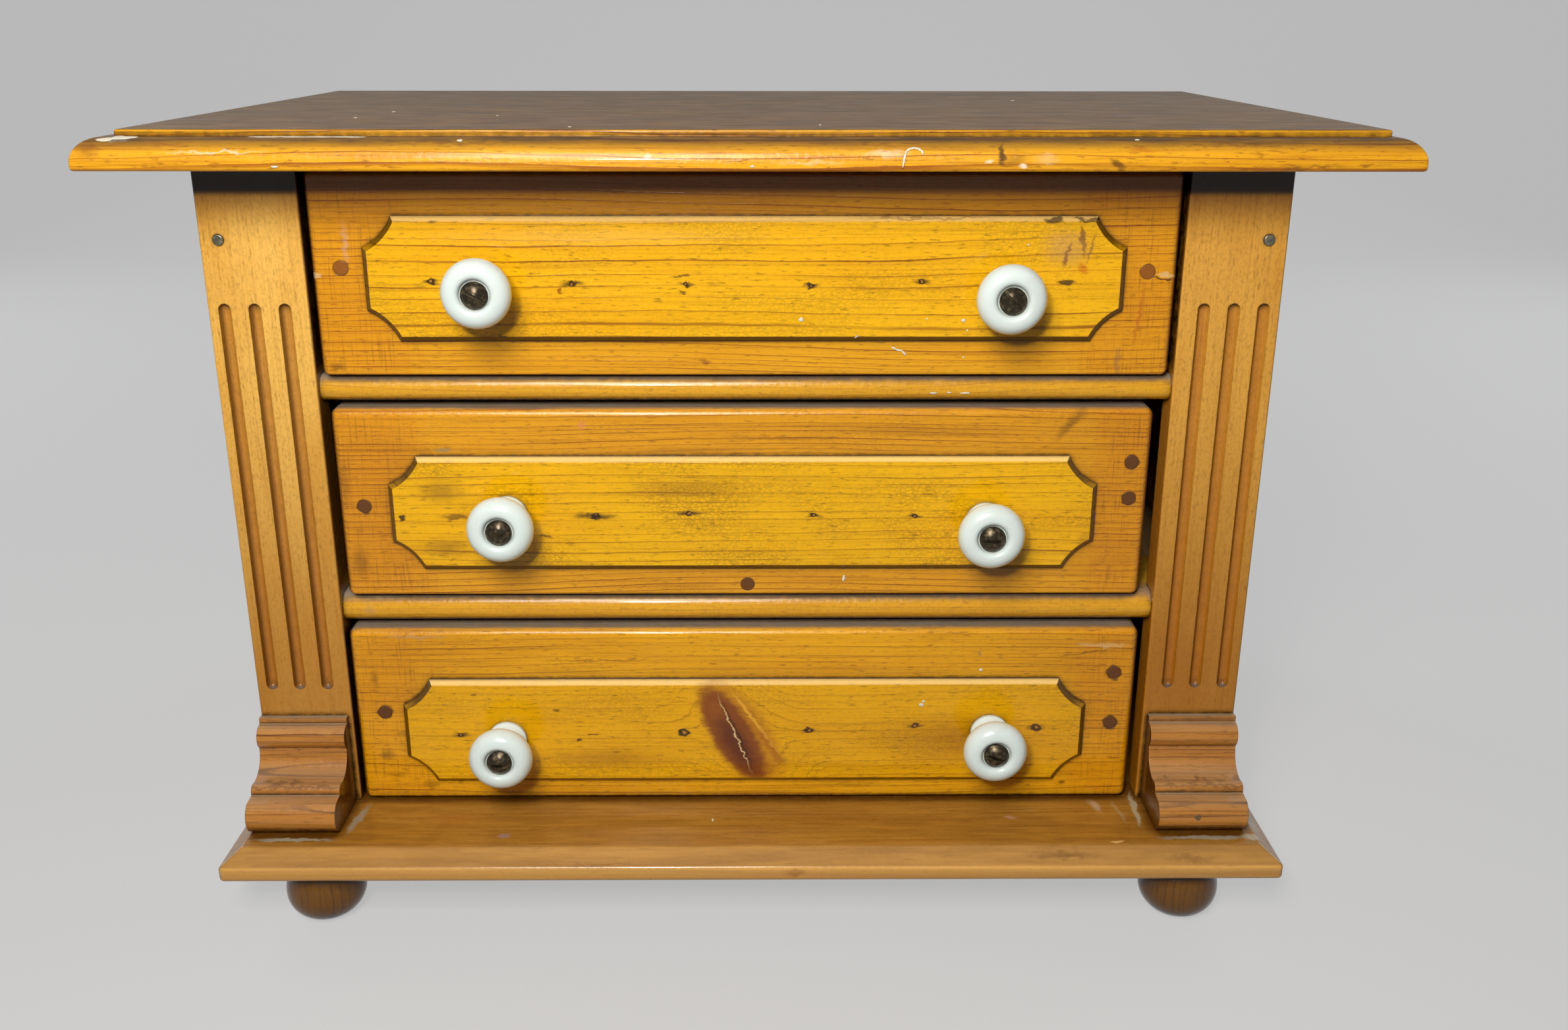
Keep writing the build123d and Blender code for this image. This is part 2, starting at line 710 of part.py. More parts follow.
    nut_y = front_y + front_thickness
    tail_length = plaque_thickness + front_thickness + nut_thickness + screw_tail
    with BuildPart() as screws:
        for screw_x, screw_offset in knob_spots:
            screw_plane = turning(screw_x, plaque_y, knob_z + screw_offset)
            with BuildSketch(screw_plane):
                with BuildLine():
                    Line((0, -tail_length), (screw_radius, -tail_length))
                    Line((screw_radius, -tail_length), (screw_radius, knob_seat))
                    Line((screw_radius, knob_seat), (screw_head / 2, knob_seat))
                    Line((screw_head / 2, knob_seat), (screw_head / 2, knob_seat + screw_edge))
                    TangentArc(
                        (0, knob_seat + screw_dome),
                        (screw_head / 2, knob_seat + screw_edge),
                        tangent=(1, 0),
                    )
                    Line((0, knob_seat + screw_dome), (0, -tail_length))
                make_face()
            revolve(axis=Axis(screw_plane.origin, (0, -1, 0)))
        for (screw_x, screw_offset), angle in zip(knob_spots, drawer.slot_angles):
            slot_y = plaque_y - knob_seat - screw_dome
            with BuildSketch(upright(screw_x, slot_y, knob_z + screw_offset)):
                Rectangle(screw_slot_length, screw_slot_width, rotation=-angle)
            extrude(amount=-screw_slot_depth, mode=Mode.SUBTRACT)
    screws.part.label = f"{drawer.name}_knob_screws"
    export_step(screws.part, f"parts/{drawer.name}_knob_screws.step")

    with BuildPart() as nuts:
        with BuildSketch(upright(0, nut_y, knob_z)):
            with Locations(*knob_spots):
                Rectangle(nut_width, nut_width)
                Circle(screw_radius + nut_fit, mode=Mode.SUBTRACT)
        extrude(amount=-nut_thickness)
    nuts.part.label = f"{drawer.name}_knob_nuts"
    export_step(nuts.part, f"parts/{drawer.name}_knob_nuts.step")
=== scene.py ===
import logging
import math
import random
from dataclasses import dataclass
from enum import Enum

import bmesh
import bpy
from mathutils import Matrix, Vector


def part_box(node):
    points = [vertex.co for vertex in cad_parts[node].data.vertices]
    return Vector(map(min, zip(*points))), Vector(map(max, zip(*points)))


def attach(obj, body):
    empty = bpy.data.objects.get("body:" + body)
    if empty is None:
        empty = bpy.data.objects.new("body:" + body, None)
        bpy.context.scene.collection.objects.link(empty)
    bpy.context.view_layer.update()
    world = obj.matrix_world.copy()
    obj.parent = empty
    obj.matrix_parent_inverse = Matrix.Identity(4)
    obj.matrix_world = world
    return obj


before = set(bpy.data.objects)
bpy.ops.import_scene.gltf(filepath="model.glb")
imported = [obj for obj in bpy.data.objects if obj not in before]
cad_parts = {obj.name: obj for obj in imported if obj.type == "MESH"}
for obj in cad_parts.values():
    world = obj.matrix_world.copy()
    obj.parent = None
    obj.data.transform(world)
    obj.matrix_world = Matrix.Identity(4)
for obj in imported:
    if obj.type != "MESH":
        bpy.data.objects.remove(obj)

Tree = bpy.types.NodeTree
Node = bpy.types.Node
Material = bpy.types.Material

MM = 0.001
LOG = logging.getLogger("desk_chest")
PEG = 5.4  # mm across a peg
ANY = 1.0e5  # reach of a mark along an axis that doesn't matter, in mm


def linear(colour: str) -> tuple:
    """Turn an sRGB hex colour into linear RGBA.

    Args:
        colour: six hex digits after a #.

    Returns:
        The colour as Blender's shaders take it.
    """
    parts = [int(colour[i:i + 2], 16) / 255 for i in (1, 3, 5)]
    bent = [c / 12.92 if c <= 0.04045 else ((c + 0.055) / 1.055) ** 2.4 for c in parts]
    return (*bent, 1.0)


def add_node(tree: Tree, kind: str, feeds: dict = None, **settings) -> Node:
    """Add a node with its settings and links.

    Args:
        tree: the node tree that gets the node.
        kind: the node's type name, without ShaderNode.
        feeds: what goes into each input: a node, a socket or a plain value.
        settings: the node's own properties.

    Returns:
        The new node.
    """
    node = tree.nodes.new("ShaderNode" + kind)
    for name, value in settings.items():
        setattr(node, name, value)
    for key, value in (feeds or {}).items():
        if isinstance(value, Node):
            value = next(socket for socket in value.outputs if socket.enabled)
        if isinstance(value, bpy.types.NodeSocket):
            tree.links.new(value, node.inputs[key])
        else:
            node.inputs[key].default_value = value
    return node


def new_material(name: str) -> tuple:
    """Make an empty material.

    Args:
        name: the finish's name.

    Returns:
        The material, its tree and its output node.
    """
    material = bpy.data.materials.new(name)
    material.use_nodes = True
    material.node_tree.nodes.clear()
    output = add_node(material.node_tree, "OutputMaterial")
    return material, material.node_tree, output


# ---------------------------------------------------------------- finishes
class Grain(Enum):
    """Which way a board's fibres run: the order of the axes is along, across, into the board."""

    SIDEWAYS = ("X", "Z", "Y")
    UPRIGHT = ("Z", "X", "Y")
    INWARDS = ("Y", "X", "Z")
    FLAT = ("X", "Y", "Z")
    TURNED = ("Z", "Y", "X")


class Facing(Enum):
    """Which way the face under a mark looks: the mark's angle turns about that axis."""

    FRONT = (0.0, 1.0, 0.0)
    UP = (0.0, 0.0, 1.0)


@dataclass(frozen=True)
class Mark:
    """A soft-edged spot in the wood, in mm: a knot, a smudge, a stain or a bare patch."""

    centre: tuple
    size: tuple
    colour: str
    strength: float = 0.9
    turn: float = 0.0  # degrees
    soft: float = 0.5
    facing: Facing = Facing.FRONT
    bends_grain: bool = False


def on_front(x: float, z: float, length: float, height: float, colour: str, strength: float = 0.9,
             turn: float = 0.0, soft: float = 0.5, bends_grain: bool = False) -> Mark:
    """Give a mark that is seen from the front.

    Args:
        x: its middle, to the right.
        z: its middle, upwards.
        length: its size along x.
        height: its size along z.
        colour: its colour.
        strength: how much of it covers the wood.
        turn: degrees that its top leans to the right.
        soft: share of its radius over which it fades.
        bends_grain: whether the growth lines swerve round it.

    Returns:
        The mark.
    """
    return Mark((x, 0.0, z), (length, ANY, height), colour, strength, turn, soft, Facing.FRONT,
                bends_grain)


def on_top(x: float, y: float, length: float, width: float, colour: str, strength: float = 0.9,
           turn: float = 0.0, soft: float = 0.5) -> Mark:
    """Give a mark that is seen from above.

    Args:
        x: its middle, to the right.
        y: its middle, to the back.
        length: its size along x.
        width: its size along y.
        colour: its colour.
        strength: how much of it covers the wood.
        turn: degrees, anticlockwise from above.
        soft: share of its radius over which it fades.

    Returns:
        The mark.
    """
    return Mark((x, y, 0.0), (length, width, ANY), colour, strength, turn, soft, Facing.UP)


@dataclass(frozen=True)
class Band:
    """A shade that comes in along one axis, from start to full, in mm."""

    axis: str
    start: float
    full: float
    colour: str
    strength: float = 0.6


@dataclass(frozen=True)
class Layer:
    """A shade over the wood: how much of it, what colour, and how it is laid."""

    amount: Node
    colour: str
    blend: str = "MIX"


@dataclass(frozen=True)
class Pine:
    """Varnished softwood: pale early wood, thin dark late wood, darker where end grain drank the stain."""

    name: str
    early: str
    late: str
    end: str
    grain: Grain
    amber: str = "#B96A12"  # broad warm patches
    ring: float = 4.2  # mm between growth lines
    pith: tuple = (-190.0, 70.0)  # mm from the tree's middle, across and into the board
    wander: float = 3.0  # mm that the growth lines sway
    line: float = 0.55  # strength of the growth lines
    blotch: float = 0.4
    streak: float = 0.35  # fine fibres
    dirt: float = 0.35  # short dark flecks along the grain
    mottle: float = 0.0  # fine round specks
    crackle: float = 0.0  # crazed old varnish
    film: str = "#93887A"  # what settles on upward faces
    dust: float = 0.1
    ledge: float = 0.75  # more of it in corners
    grime_and_shade: float = 0.85
    nook: float = 6.0  # mm from a corner that dirt and painted shade reach
    wear: float = 0.35
    gloss: float = 0.26
    coat: float = 0.35
    seed: float = 0.0
    end_reach: tuple = (0.35, 0.8)  # how squarely a face looks along the fibres before it darkens
    under: float = 0.0  # painted shade on faces that look down
    ends: tuple = ()  # x to the left and to the right beyond which a front is scraped, and how much
    bands: tuple = ()
    marks: tuple = ()
    crust: tuple = ()  # marks that lie over the dust
    lee: float = 0.0  # painted shade on the left wall of a groove, out of the light

    def material(self) -> Material:
        """Build the shader.

        Returns:
            The finished material.
        """
        material, tree, output = new_material(self.name)
        place = self.place(tree)
        fibre = self.fibre(tree, place)
        warped = self.warped(tree, place)
        ring = self.growth_lines(tree, fibre, warped)
        streaks = self.noise(tree, fibre, (0.02, 1.1, 1.1), detail=4.0, offset=11.0)
        rounded = add_node(tree, "Bevel", {"Radius": 0.6 * MM}, samples=6)
        # The corners get dirt and painted shade, and the faces that look up get dust.
        dirt, dust = self.corners(tree, place)
        colour = linear(self.early)
        for layer in (
            *self.wood(tree, fibre, ring, streaks),
            *self.flecks(tree, place, fibre),
            *self.scraped_ends(tree, place),
            *self.shades(tree, place),
            self.end_grain_and_shade(tree),
            *self.spots(tree, warped, self.marks),
            self.worn_edges(tree, rounded, place),
            dirt,
            dust,
            *self.spots(tree, warped, self.crust),
        ):
            colour = add_node(tree, "Mix", {0: layer.amount, 6: colour, 7: linear(layer.colour)},
                              data_type="RGBA", blend_type=layer.blend)
        rough = add_node(tree, "MapRange", {
            "Value": self.noise(tree, place, (0.09, 0.09, 0.09), detail=3.0, offset=5.0),
            "From Min": 0.3, "From Max": 0.7, "To Min": self.gloss - 0.07, "To Max": self.gloss + 0.1})
        rough = add_node(tree, "Math", {0: dust.amount, 1: 0.4, 2: rough}, operation="MULTIPLY_ADD",
                         use_clamp=True)
        shader = add_node(tree, "BsdfPrincipled", {
            "Base Color": colour, "Roughness": rough, "IOR": 1.5, "Specular IOR Level": 0.2,
            "Normal": self.relief(tree, rounded, ring, streaks, place),
            "Coat Weight": self.coat, "Coat Roughness": 0.1, "Coat IOR": 1.45,
        })
        tree.links.new(shader.outputs[0], output.inputs[0])
        return material

    def place(self, tree: Tree) -> Node:
        """Give the point's place on the object, in mm.

        Args:
            tree: the node tree.

        Returns:
            The node that gives it.
        """
        coords = add_node(tree, "TexCoord")
        return add_node(tree, "VectorMath", {0: coords.outputs["Object"], "Scale": 1 / MM},
                        operation="SCALE")

    def fibre(self, tree: Tree, place: Node) -> Node:
        """Give the place as along, across and into the board.

        Args:
            tree: the node tree.
            place: the point in mm.

        Returns:
            The node that gives it.
        """
        parts = add_node(tree, "SeparateXYZ", {0: place})
        along, across, into = self.grain.value
        return add_node(tree, "CombineXYZ", {
            0: parts.outputs[along], 1: parts.outputs[across], 2: parts.outputs[into]})

    def noise(self, tree: Tree, source: Node, per_mm: tuple,
              detail: float = 2.0, offset: float = 0.0) -> Node:
        """Give a noise of this board's own whose features are sized per axis.

        Args:
            tree: the node tree.
            source: place or fibre coordinates, in mm.
            per_mm: features per mm along each axis.
            detail: octaves of finer noise.
            offset: shifts the pattern, so that no two boards match.

        Returns:
            The noise node, whose first output runs from about 0.3 to 0.7.
        """
        shift = (self.seed + offset,) * 3
        scaled = add_node(tree, "VectorMath", {0: source, 1: per_mm, 2: shift},
                          operation="MULTIPLY_ADD")
        return add_node(tree, "TexNoise", {"Vector": scaled, "Scale": 1.0, "Detail": detail})

    def warped(self, tree: Tree, place: Node) -> Node:
        """Give the place moved about by up to a millimetre, for ragged outlines.

        Args:
            tree: the node tree.
            place: the point in mm.

        Returns:
            The node that gives it.
        """
        swing = (4.0,) * 3  # mm between the noise's ends, which it seldom reaches
        drift = self.noise(tree, place, (0.25, 0.25, 0.5), detail=4.0, offset=3.0)
        return add_node(tree, "VectorMath", {
            0: add_node(tree, "VectorMath", {0: drift.outputs["Color"], 1: (0.5,) * 3},
                        operation="SUBTRACT"),
            1: swing, 2: place}, operation="MULTIPLY_ADD")

    def reach(self, tree: Tree, source: Node, mark: Mark, grow: float = 1.0) -> Node:
        """Give the distance from a mark's middle, as a share of its size.

        Args:
            tree: the node tree.
            source: the coordinates that the mark lies in, in mm.
            mark: the mark.
            grow: how much larger than the mark the reach is.

        Returns:
            The node that gives 0 at the mark's middle and 1 at its rim.
        """
        local = add_node(tree, "Mapping", {
            "Vector": source, "Location": mark.centre,
            "Rotation": tuple(math.radians(mark.turn) * axis for axis in mark.facing.value),
            "Scale": tuple(side / 2 * (1.0 if side == ANY else grow) for side in mark.size),
        }, vector_type="TEXTURE")
        return add_node(tree, "VectorMath", {0: local}, operation="LENGTH")

    def growth_lines(self, tree: Tree, fibre: Node, warped: Node) -> Node:
        """Give 0 in early wood, a little in summer wood and 1 in the thin late wood of each year.

        Args:
            tree: the node tree.
            fibre: the point in mm along, across and into the board.
            warped: the point in mm, moved about for ragged outlines.

        Returns:
            The node that gives it.
        """
        across, into = self.pith
        flat = add_node(tree, "VectorMath", {0: fibre, 1: (0.0, 1.0, 1.0), 2: (0.0, -across, -into)},
                        operation="MULTIPLY_ADD")
        radius = add_node(tree, "VectorMath", {0: flat}, operation="LENGTH")
        for mark in self.marks:
            if mark.bends_grain:
                radius = self.bend_round(tree, radius, warped, mark)
        sway = self.noise(tree, fibre, (0.004, 0.014, 0.014), detail=1.0, offset=1.0)
        swayed = add_node(tree, "Math", {0: sway, 1: self.wander * 4, 2: radius},
                          operation="MULTIPLY_ADD")
        jitter = self.noise(tree, fibre, (0.05, 0.3, 0.3), detail=2.0, offset=2.0)
        swayed = add_node(tree, "Math", {0: jitter, 1: self.ring * 0.22, 2: swayed},
                          operation="MULTIPLY_ADD")
        seasons = add_node(tree, "TexNoise", {"W": swayed, "Scale": 0.16, "Detail": 1.0},
                           noise_dimensions="1D")
        uneven = add_node(tree, "Math", {0: seasons, 1: self.ring * 1.5, 2: swayed},
                          operation="MULTIPLY_ADD")
        years = add_node(tree, "Math", {0: uneven, 1: self.ring}, operation="DIVIDE")
        season = add_node(tree, "Math", {0: years}, operation="FRACT")
        summer = add_node(tree, "MapRange", {
            "Value": season, "From Min": 0.4, "From Max": 0.95, "To Max": 0.2})
        autumn = add_node(tree, "MapRange", {
            "Value": season, "From Min": 0.86, "From Max": 0.92, "To Max": 0.8},
            interpolation_type="SMOOTHSTEP")
        winter = add_node(tree, "MapRange", {
            "Value": season, "From Min": 0.96, "From Max": 1.0, "To Min": 1.0, "To Max": 0.0})
        late = add_node(tree, "Math", {0: summer, 1: autumn}, operation="ADD")
        return add_node(tree, "Math", {0: late, 1: winter}, operation="MULTIPLY")

    def bend_round(self, tree: Tree, radius: Node, warped: Node, mark: Mark) -> Node:
        """Lead the growth lines above and below a knot instead of through it.

        Args:
            tree: the node tree.
            radius: the distance from the tree's middle, in mm.
            warped: the point in mm, moved about for ragged outlines.
            mark: the mark.

        Returns:
            The bent distance.
        """
        near = add_node(tree, "MapRange", {
            "Value": self.reach(tree, warped, mark, 2.2), "From Min": 0.1, "From Max": 1.0,
            "To Min": 0.8, "To Max": 0.0}, interpolation_type="SMOOTHERSTEP")
        height = add_node(tree, "SeparateXYZ", {0: warped})
        above = add_node(tree, "Math", {0: mark.centre[2], 1: height.outputs["Z"]},
                         operation="SUBTRACT")
        return add_node(tree, "Math", {0: near, 1: above, 2: radius},
                        operation="MULTIPLY_ADD")

    def wood(self, tree: Tree, fibre: Node, ring: Node, streaks: Node) -> list:
        """Give the bare wood: warm patches, growth lines and fibres over the early wood.

        Args:
            tree: the node tree.
            fibre: the point in mm along, across and into the board.
            ring: how late in its year the wood grew, from 0 to 1.
            streaks: the noise of the fine fibres.

        Returns:
            The layers.
        """
        broad = self.noise(tree, fibre, (0.009, 0.035, 0.035), detail=3.0, offset=31.0)
        patch = add_node(tree, "MapRange", {
            "Value": broad, "From Min": 0.42, "From Max": 0.66, "To Max": self.blotch},
            interpolation_type="SMOOTHSTEP")
        faint = self.noise(tree, fibre, (0.012, 0.09, 0.09), detail=2.0, offset=23.0)
        shown = add_node(tree, "MapRange", {
            "Value": faint, "From Min": 0.36, "From Max": 0.62, "To Min": 0.4 * self.line,
            "To Max": self.line * 1.3})
        line = add_node(tree, "Math", {0: ring, 1: shown}, operation="MULTIPLY", use_clamp=True)
        fine = add_node(tree, "MapRange", {
            "Value": streaks, "From Min": 0.5, "From Max": 0.76, "To Max": self.streak})
        return [Layer(patch, self.amber), Layer(line, self.late), Layer(fine, self.late)]

    def flecks(self, tree: Tree, place: Node, fibre: Node) -> list:
        """Give short dark flecks, round specks and crazed varnish.

        Args:
            tree: the node tree.
            place: the point in mm.
            fibre: the point in mm along, across and into the board.

        Returns:
            The layers.
        """
        speck = self.noise(tree, fibre, (0.22, 1.3, 1.3), detail=4.0, offset=43.0)
        amounts = [add_node(tree, "MapRange", {
            "Value": speck, "From Min": 0.58, "From Max": 0.7, "To Max": self.dirt})]
        if self.mottle:
            grainy = self.noise(tree, place, (1.1, 1.1, 0.7), detail=5.0, offset=47.0)
            amounts.append(add_node(tree, "MapRange", {
                "Value": grainy, "From Min": 0.5, "From Max": 0.7, "To Max": self.mottle}))
        if self.crackle:
            cells = add_node(tree, "VectorMath", {0: fibre, 1: (0.5, 0.8, 0.8)}, operation="MULTIPLY")
            net = add_node(tree, "TexVoronoi", {"Vector": cells, "Scale": 1.0},
                           feature="DISTANCE_TO_EDGE")
            crack = add_node(tree, "MapRange", {
                "Value": net, "From Min": 0.03, "From Max": 0.16, "To Min": self.crackle, "To Max": 0.0})
            where = add_node(tree, "MapRange", {
                "Value": self.noise(tree, fibre, (0.02, 0.05, 0.05), detail=3.0, offset=53.0),
                "From Min": 0.45, "From Max": 0.6})
            amounts.append(add_node(tree, "Math", {0: crack, 1: where}, operation="MULTIPLY"))
        return [Layer(amount, self.end) for amount in amounts]

    def scraped_ends(self, tree: Tree, place: Node) -> list:
        """Redden the two ends of a front and scratch them upright.

        Args:
            tree: the node tree.
            place: the point in mm.

        Returns:
            The layers, none for a board without such ends.
        """
        if not self.ends:
            return []
        left, right, share = self.ends
        parts = add_node(tree, "SeparateXYZ", {0: place})
        off = add_node(tree, "Math", {0: parts.outputs["X"], 1: (left + right) / 2},
                       operation="SUBTRACT")
        far = add_node(tree, "Math", {0: off}, operation="ABSOLUTE")
        ragged = self.noise(tree, place, (0.3, 0.3, 0.04), detail=3.0, offset=59.0)
        fray = 22.0  # mm, and the noise is a half on average
        far = add_node(tree, "Math", {0: ragged, 1: fray, 2: far}, operation="MULTIPLY_ADD")
        half = (right - left + fray) / 2
        amount = add_node(tree, "MapRange", {
            "Value": far, "From Min": half - 8.0, "From Max": half + 7.0, "To Max": share},
            interpolation_type="SMOOTHSTEP")
        hatch = self.noise(tree, place, (1.7, 1.7, 0.07), detail=3.0, offset=61.0)
        scratch = add_node(tree, "MapRange", {
            "Value": hatch, "From Min": 0.54, "From Max": 0.7, "To Max": 0.5})
        scratch = add_node(tree, "Math", {0: scratch, 1: amount}, operation="MULTIPLY")
        return [Layer(amount, "#F8EAD8", "MULTIPLY"), Layer(scratch, self.end)]

    def shades(self, tree: Tree, place: Node) -> list:
        """Give the board's bands.

        Args:
            tree: the node tree.
            place: the point in mm.

        Returns:
            The layers.
        """
        parts = add_node(tree, "SeparateXYZ", {0: place})
        return [Layer(add_node(tree, "MapRange", {
            "Value": parts.outputs[band.axis], "From Min": band.start, "From Max": band.full,
            "To Max": band.strength}, interpolation_type="SMOOTHSTEP"), band.colour)
            for band in self.bands]

    def end_grain_and_shade(self, tree: Tree) -> Layer:
        """Darken what faces along the fibres and drank more stain, and paint shade on faces that look down or
        away from the light.

        Args:
            tree: the node tree.

        Returns:
            The layer.
        """
        coords = add_node(tree, "TexCoord")
        facing = add_node(tree, "SeparateXYZ", {0: coords.outputs["Normal"]})
        along = add_node(tree, "Math", {0: facing.outputs[self.grain.value[0]]}, operation="ABSOLUTE")
        start, full = self.end_reach
        amount = add_node(tree, "MapRange", {
            "Value": along, "From Min": start, "From Max": full, "To Max": 0.85})
        for axis, first, last, share in (("Z", -0.15, -0.6, self.under), ("X", 0.2, 0.8, self.lee)):
            turned = add_node(tree, "MapRange", {
                "Value": facing.outputs[axis], "From Min": first, "From Max": last, "To Max": share})
            amount = add_node(tree, "Math", {0: amount, 1: turned}, operation="MAXIMUM")
        return Layer(amount, self.end)

    def spots(self, tree: Tree, warped: Node, marks: tuple) -> list:
        """Give marks their place in the wood.

        Args:
            tree: the node tree.
            warped: the point in mm, moved about for ragged outlines.
            marks: the marks.

        Returns:
            The layers.
        """
        return [Layer(add_node(tree, "MapRange", {
            "Value": self.reach(tree, warped, mark), "From Min": 1.0 - mark.soft, "From Max": 1.0,
            "To Min": mark.strength, "To Max": 0.0}, interpolation_type="SMOOTHSTEP"), mark.colour)
            for mark in marks]

    def worn_edges(self, tree: Tree, rounded: Node, place: Node) -> Layer:
        """Darken the handled arrises, where varnish is rubbed through and dirt is held.

        Args:
            tree: the node tree.
            rounded: the normal with its arrises softened.
            place: the point in mm.

        Returns:
            The layer.
        """
        geometry = add_node(tree, "NewGeometry")
        match = add_node(tree, "VectorMath", {0: rounded, 1: geometry.outputs["Normal"]},
                         operation="DOT_PRODUCT")
        edge = add_node(tree, "MapRange", {
            "Value": match, "From Min": 0.995, "From Max": 0.86, "To Max": self.wear})
        broken = add_node(tree, "MapRange", {
            "Value": self.noise(tree, place, (0.16, 0.16, 0.16), detail=4.0, offset=71.0),
            "From Min": 0.42, "From Max": 0.6})
        return Layer(add_node(tree, "Math", {0: edge, 1: broken}, operation="MULTIPLY"), self.end)

    def corners(self, tree: Tree, place: Node) -> tuple:
        """Gather wax and dirt in the corners, with painted shade there too, and dust on the faces that look
        up.

        Args:
            tree: the node tree.
            place: the point in mm.

        Returns:
            The layer of dirt and painted shade, and the layer of dust.
        """
        # Where the occlusion finds a corner, the wood is darkened: dirt and painted shade.
        nook = add_node(tree, "AmbientOcclusion", {"Distance": self.nook * MM}, samples=8)
        closed = add_node(tree, "MapRange", {
            "Value": nook.outputs["AO"], "From Min": 0.92, "From Max": 0.5})
        broken = add_node(tree, "MapRange", {
            "Value": self.noise(tree, place, (0.3, 0.3, 0.3), detail=4.0, offset=79.0),
            "From Min": 0.3, "From Max": 0.6, "To Min": 0.6 * self.grime_and_shade, "To Max": self.grime_and_shade})
        dirty = add_node(tree, "Math", {0: closed, 1: broken}, operation="MULTIPLY")
        coords = add_node(tree, "TexCoord")
        facing = add_node(tree, "SeparateXYZ", {0: coords.outputs["Normal"]})
        level = add_node(tree, "MapRange", {
            "Value": facing.outputs["Z"], "From Min": 0.45, "From Max": 0.9})
        gathered = add_node(tree, "Math", {0: closed, 1: self.ledge, 2: self.dust},
                            operation="MULTIPLY_ADD")
        film = add_node(tree, "MapRange", {
            "Value": self.noise(tree, place, (0.05, 0.35, 0.35), detail=5.0, offset=83.0),
            "From Min": 0.36, "From Max": 0.6, "To Min": 0.8, "To Max": 1.0})
        settled = add_node(tree, "Math", {0: level, 1: gathered}, operation="MULTIPLY")
        dusty = add_node(tree, "Math", {0: settled, 1: film}, operation="MULTIPLY", use_clamp=True)
        return Layer(dirty, "#1A0C03"), Layer(dusty, self.film)

    def relief(self, tree: Tree, rounded: Node, ring: Node, streaks: Node, place: Node) -> Node:
        """Give the surface's fine relief: proud late wood, fibres and an uneven coat of varnish.

        Args:
            tree: the node tree.
            rounded: the normal with its arrises softened.
            ring: how late in its year the wood grew, from 0 to 1.
            streaks: the noise of the fine fibres.
            place: the point in mm.

        Returns:
            The uneven normal.
        """
        coat = self.noise(tree, place, (0.4, 0.4, 0.4), detail=4.0, offset=97.0)
        wood = add_node(tree, "Bump", {
            "Height": ring, "Distance": 0.05 * MM, "Strength": 0.4, "Normal": rounded})
        fibres = add_node(tree, "Bump", {
            "Height": streaks, "Distance": 0.15 * MM, "Strength": 0.5, "Normal": wood})
        return add_node(tree, "Bump", {
            "Height": coat, "Distance": 0.4 * MM, "Strength": 0.5, "Normal": fibres})


@dataclass(frozen=True)
class Porcelain:
    """Glazed white porcelain: a cool white body under a clear, slightly uneven glaze."""

    name: str = "glazed_porcelain"
    body: str = "#DFEEEE"
    stain: str = "#A8987A"

    def material(self) -> Material:
        """Build the shader.

        Returns:
            The finished material.
        """
        material, tree, output = new_material(self.name)
        coords = add_node(tree, "TexCoord")
        # Grime gathers in patches about 8 mm across.
        cloud = add_node(tree, "TexNoise", {
            "Vector": coords.outputs["Object"], "Scale": 1 / (8 * MM), "Detail": 4.0})
        patch = add_node(tree, "MapRange", {
            "Value": cloud, "From Min": 0.56, "From Max": 0.8, "To Min": 0.0, "To Max": 0.2})
        # It also stays round the screw and where the neck meets the wood.
        nook = add_node(tree, "AmbientOcclusion", {"Distance": 3.0 * MM}, samples=6)
        closed = add_node(tree, "MapRange", {
            "Value": nook.outputs["AO"], "From Min": 0.6, "From Max": 0.2, "To Max": 0.4})
        amount = add_node(tree, "Math", {0: patch, 1: closed}, operation="ADD", use_clamp=True)
        colour = add_node(tree, "Mix", {
            0: amount, 6: linear(self.body), 7: linear(self.stain)}, data_type="RGBA")
        # The glaze is a little wavy at about 5 mm.
        wave = add_node(tree, "TexNoise", {
            "Vector": coords.outputs["Object"], "Scale": 1 / (5 * MM), "Detail": 1.0})
        relief = add_node(tree, "Bump", {
            "Height": wave, "Distance": 0.12 * MM, "Strength": 0.35})
        shader = add_node(tree, "BsdfPrincipled", {
            "Base Color": colour, "Roughness": 0.2, "IOR": 1.52, "Normal": relief,
            "Subsurface Weight": 0.08, "Subsurface Scale": 1.5 * MM,
            "Coat Weight": 0.5, "Coat Roughness": 0.07,
        })
        tree.links.new(shader.outputs[0], output.inputs[0])
        return material


@dataclass(frozen=True)
class BronzedSteel:
    """Steel with an old chemical brown finish, rubbed paler on its high spots."""

    name: str = "bronzed_steel"
    patina: str = "#332C22"
    rubbed: str = "#8A7A5C"

    def material(self) -> Material:
        """Build the shader.

        Returns:
            The finished material.
        """
        material, tree, output = new_material(self.name)
        coords = add_node(tree, "TexCoord")
        # Patina mottles at about 1.5 mm, scratches at about 0.4 mm.
        mottle = add_node(tree, "TexNoise", {
            "Vector": coords.outputs["Object"], "Scale": 1 / (1.5 * MM), "Detail": 4.0})
        amount = add_node(tree, "MapRange", {
            "Value": mottle, "From Min": 0.5, "From Max": 0.75, "To Min": 0.05, "To Max": 0.65})
        colour = add_node(tree, "Mix", {
            0: amount, 6: linear(self.patina), 7: linear(self.rubbed)}, data_type="RGBA")
        rough = add_node(tree, "MapRange", {
            "Value": mottle, "From Min": 0.3, "From Max": 0.7, "To Min": 0.2, "To Max": 0.42})
        scratch = add_node(tree, "TexNoise", {
            "Vector": coords.outputs["Object"], "Scale": 1 / (0.4 * MM), "Detail": 3.0})
        relief = add_node(tree, "Bump", {
            "Height": scratch, "Distance": 0.03 * MM, "Strength": 0.3})
        shader = add_node(tree, "BsdfPrincipled", {
            "Base Color": colour, "Metallic": 0.8, "Roughness": rough, "Normal": relief})
        tree.links.new(shader.outputs[0], output.inputs[0])
        return material


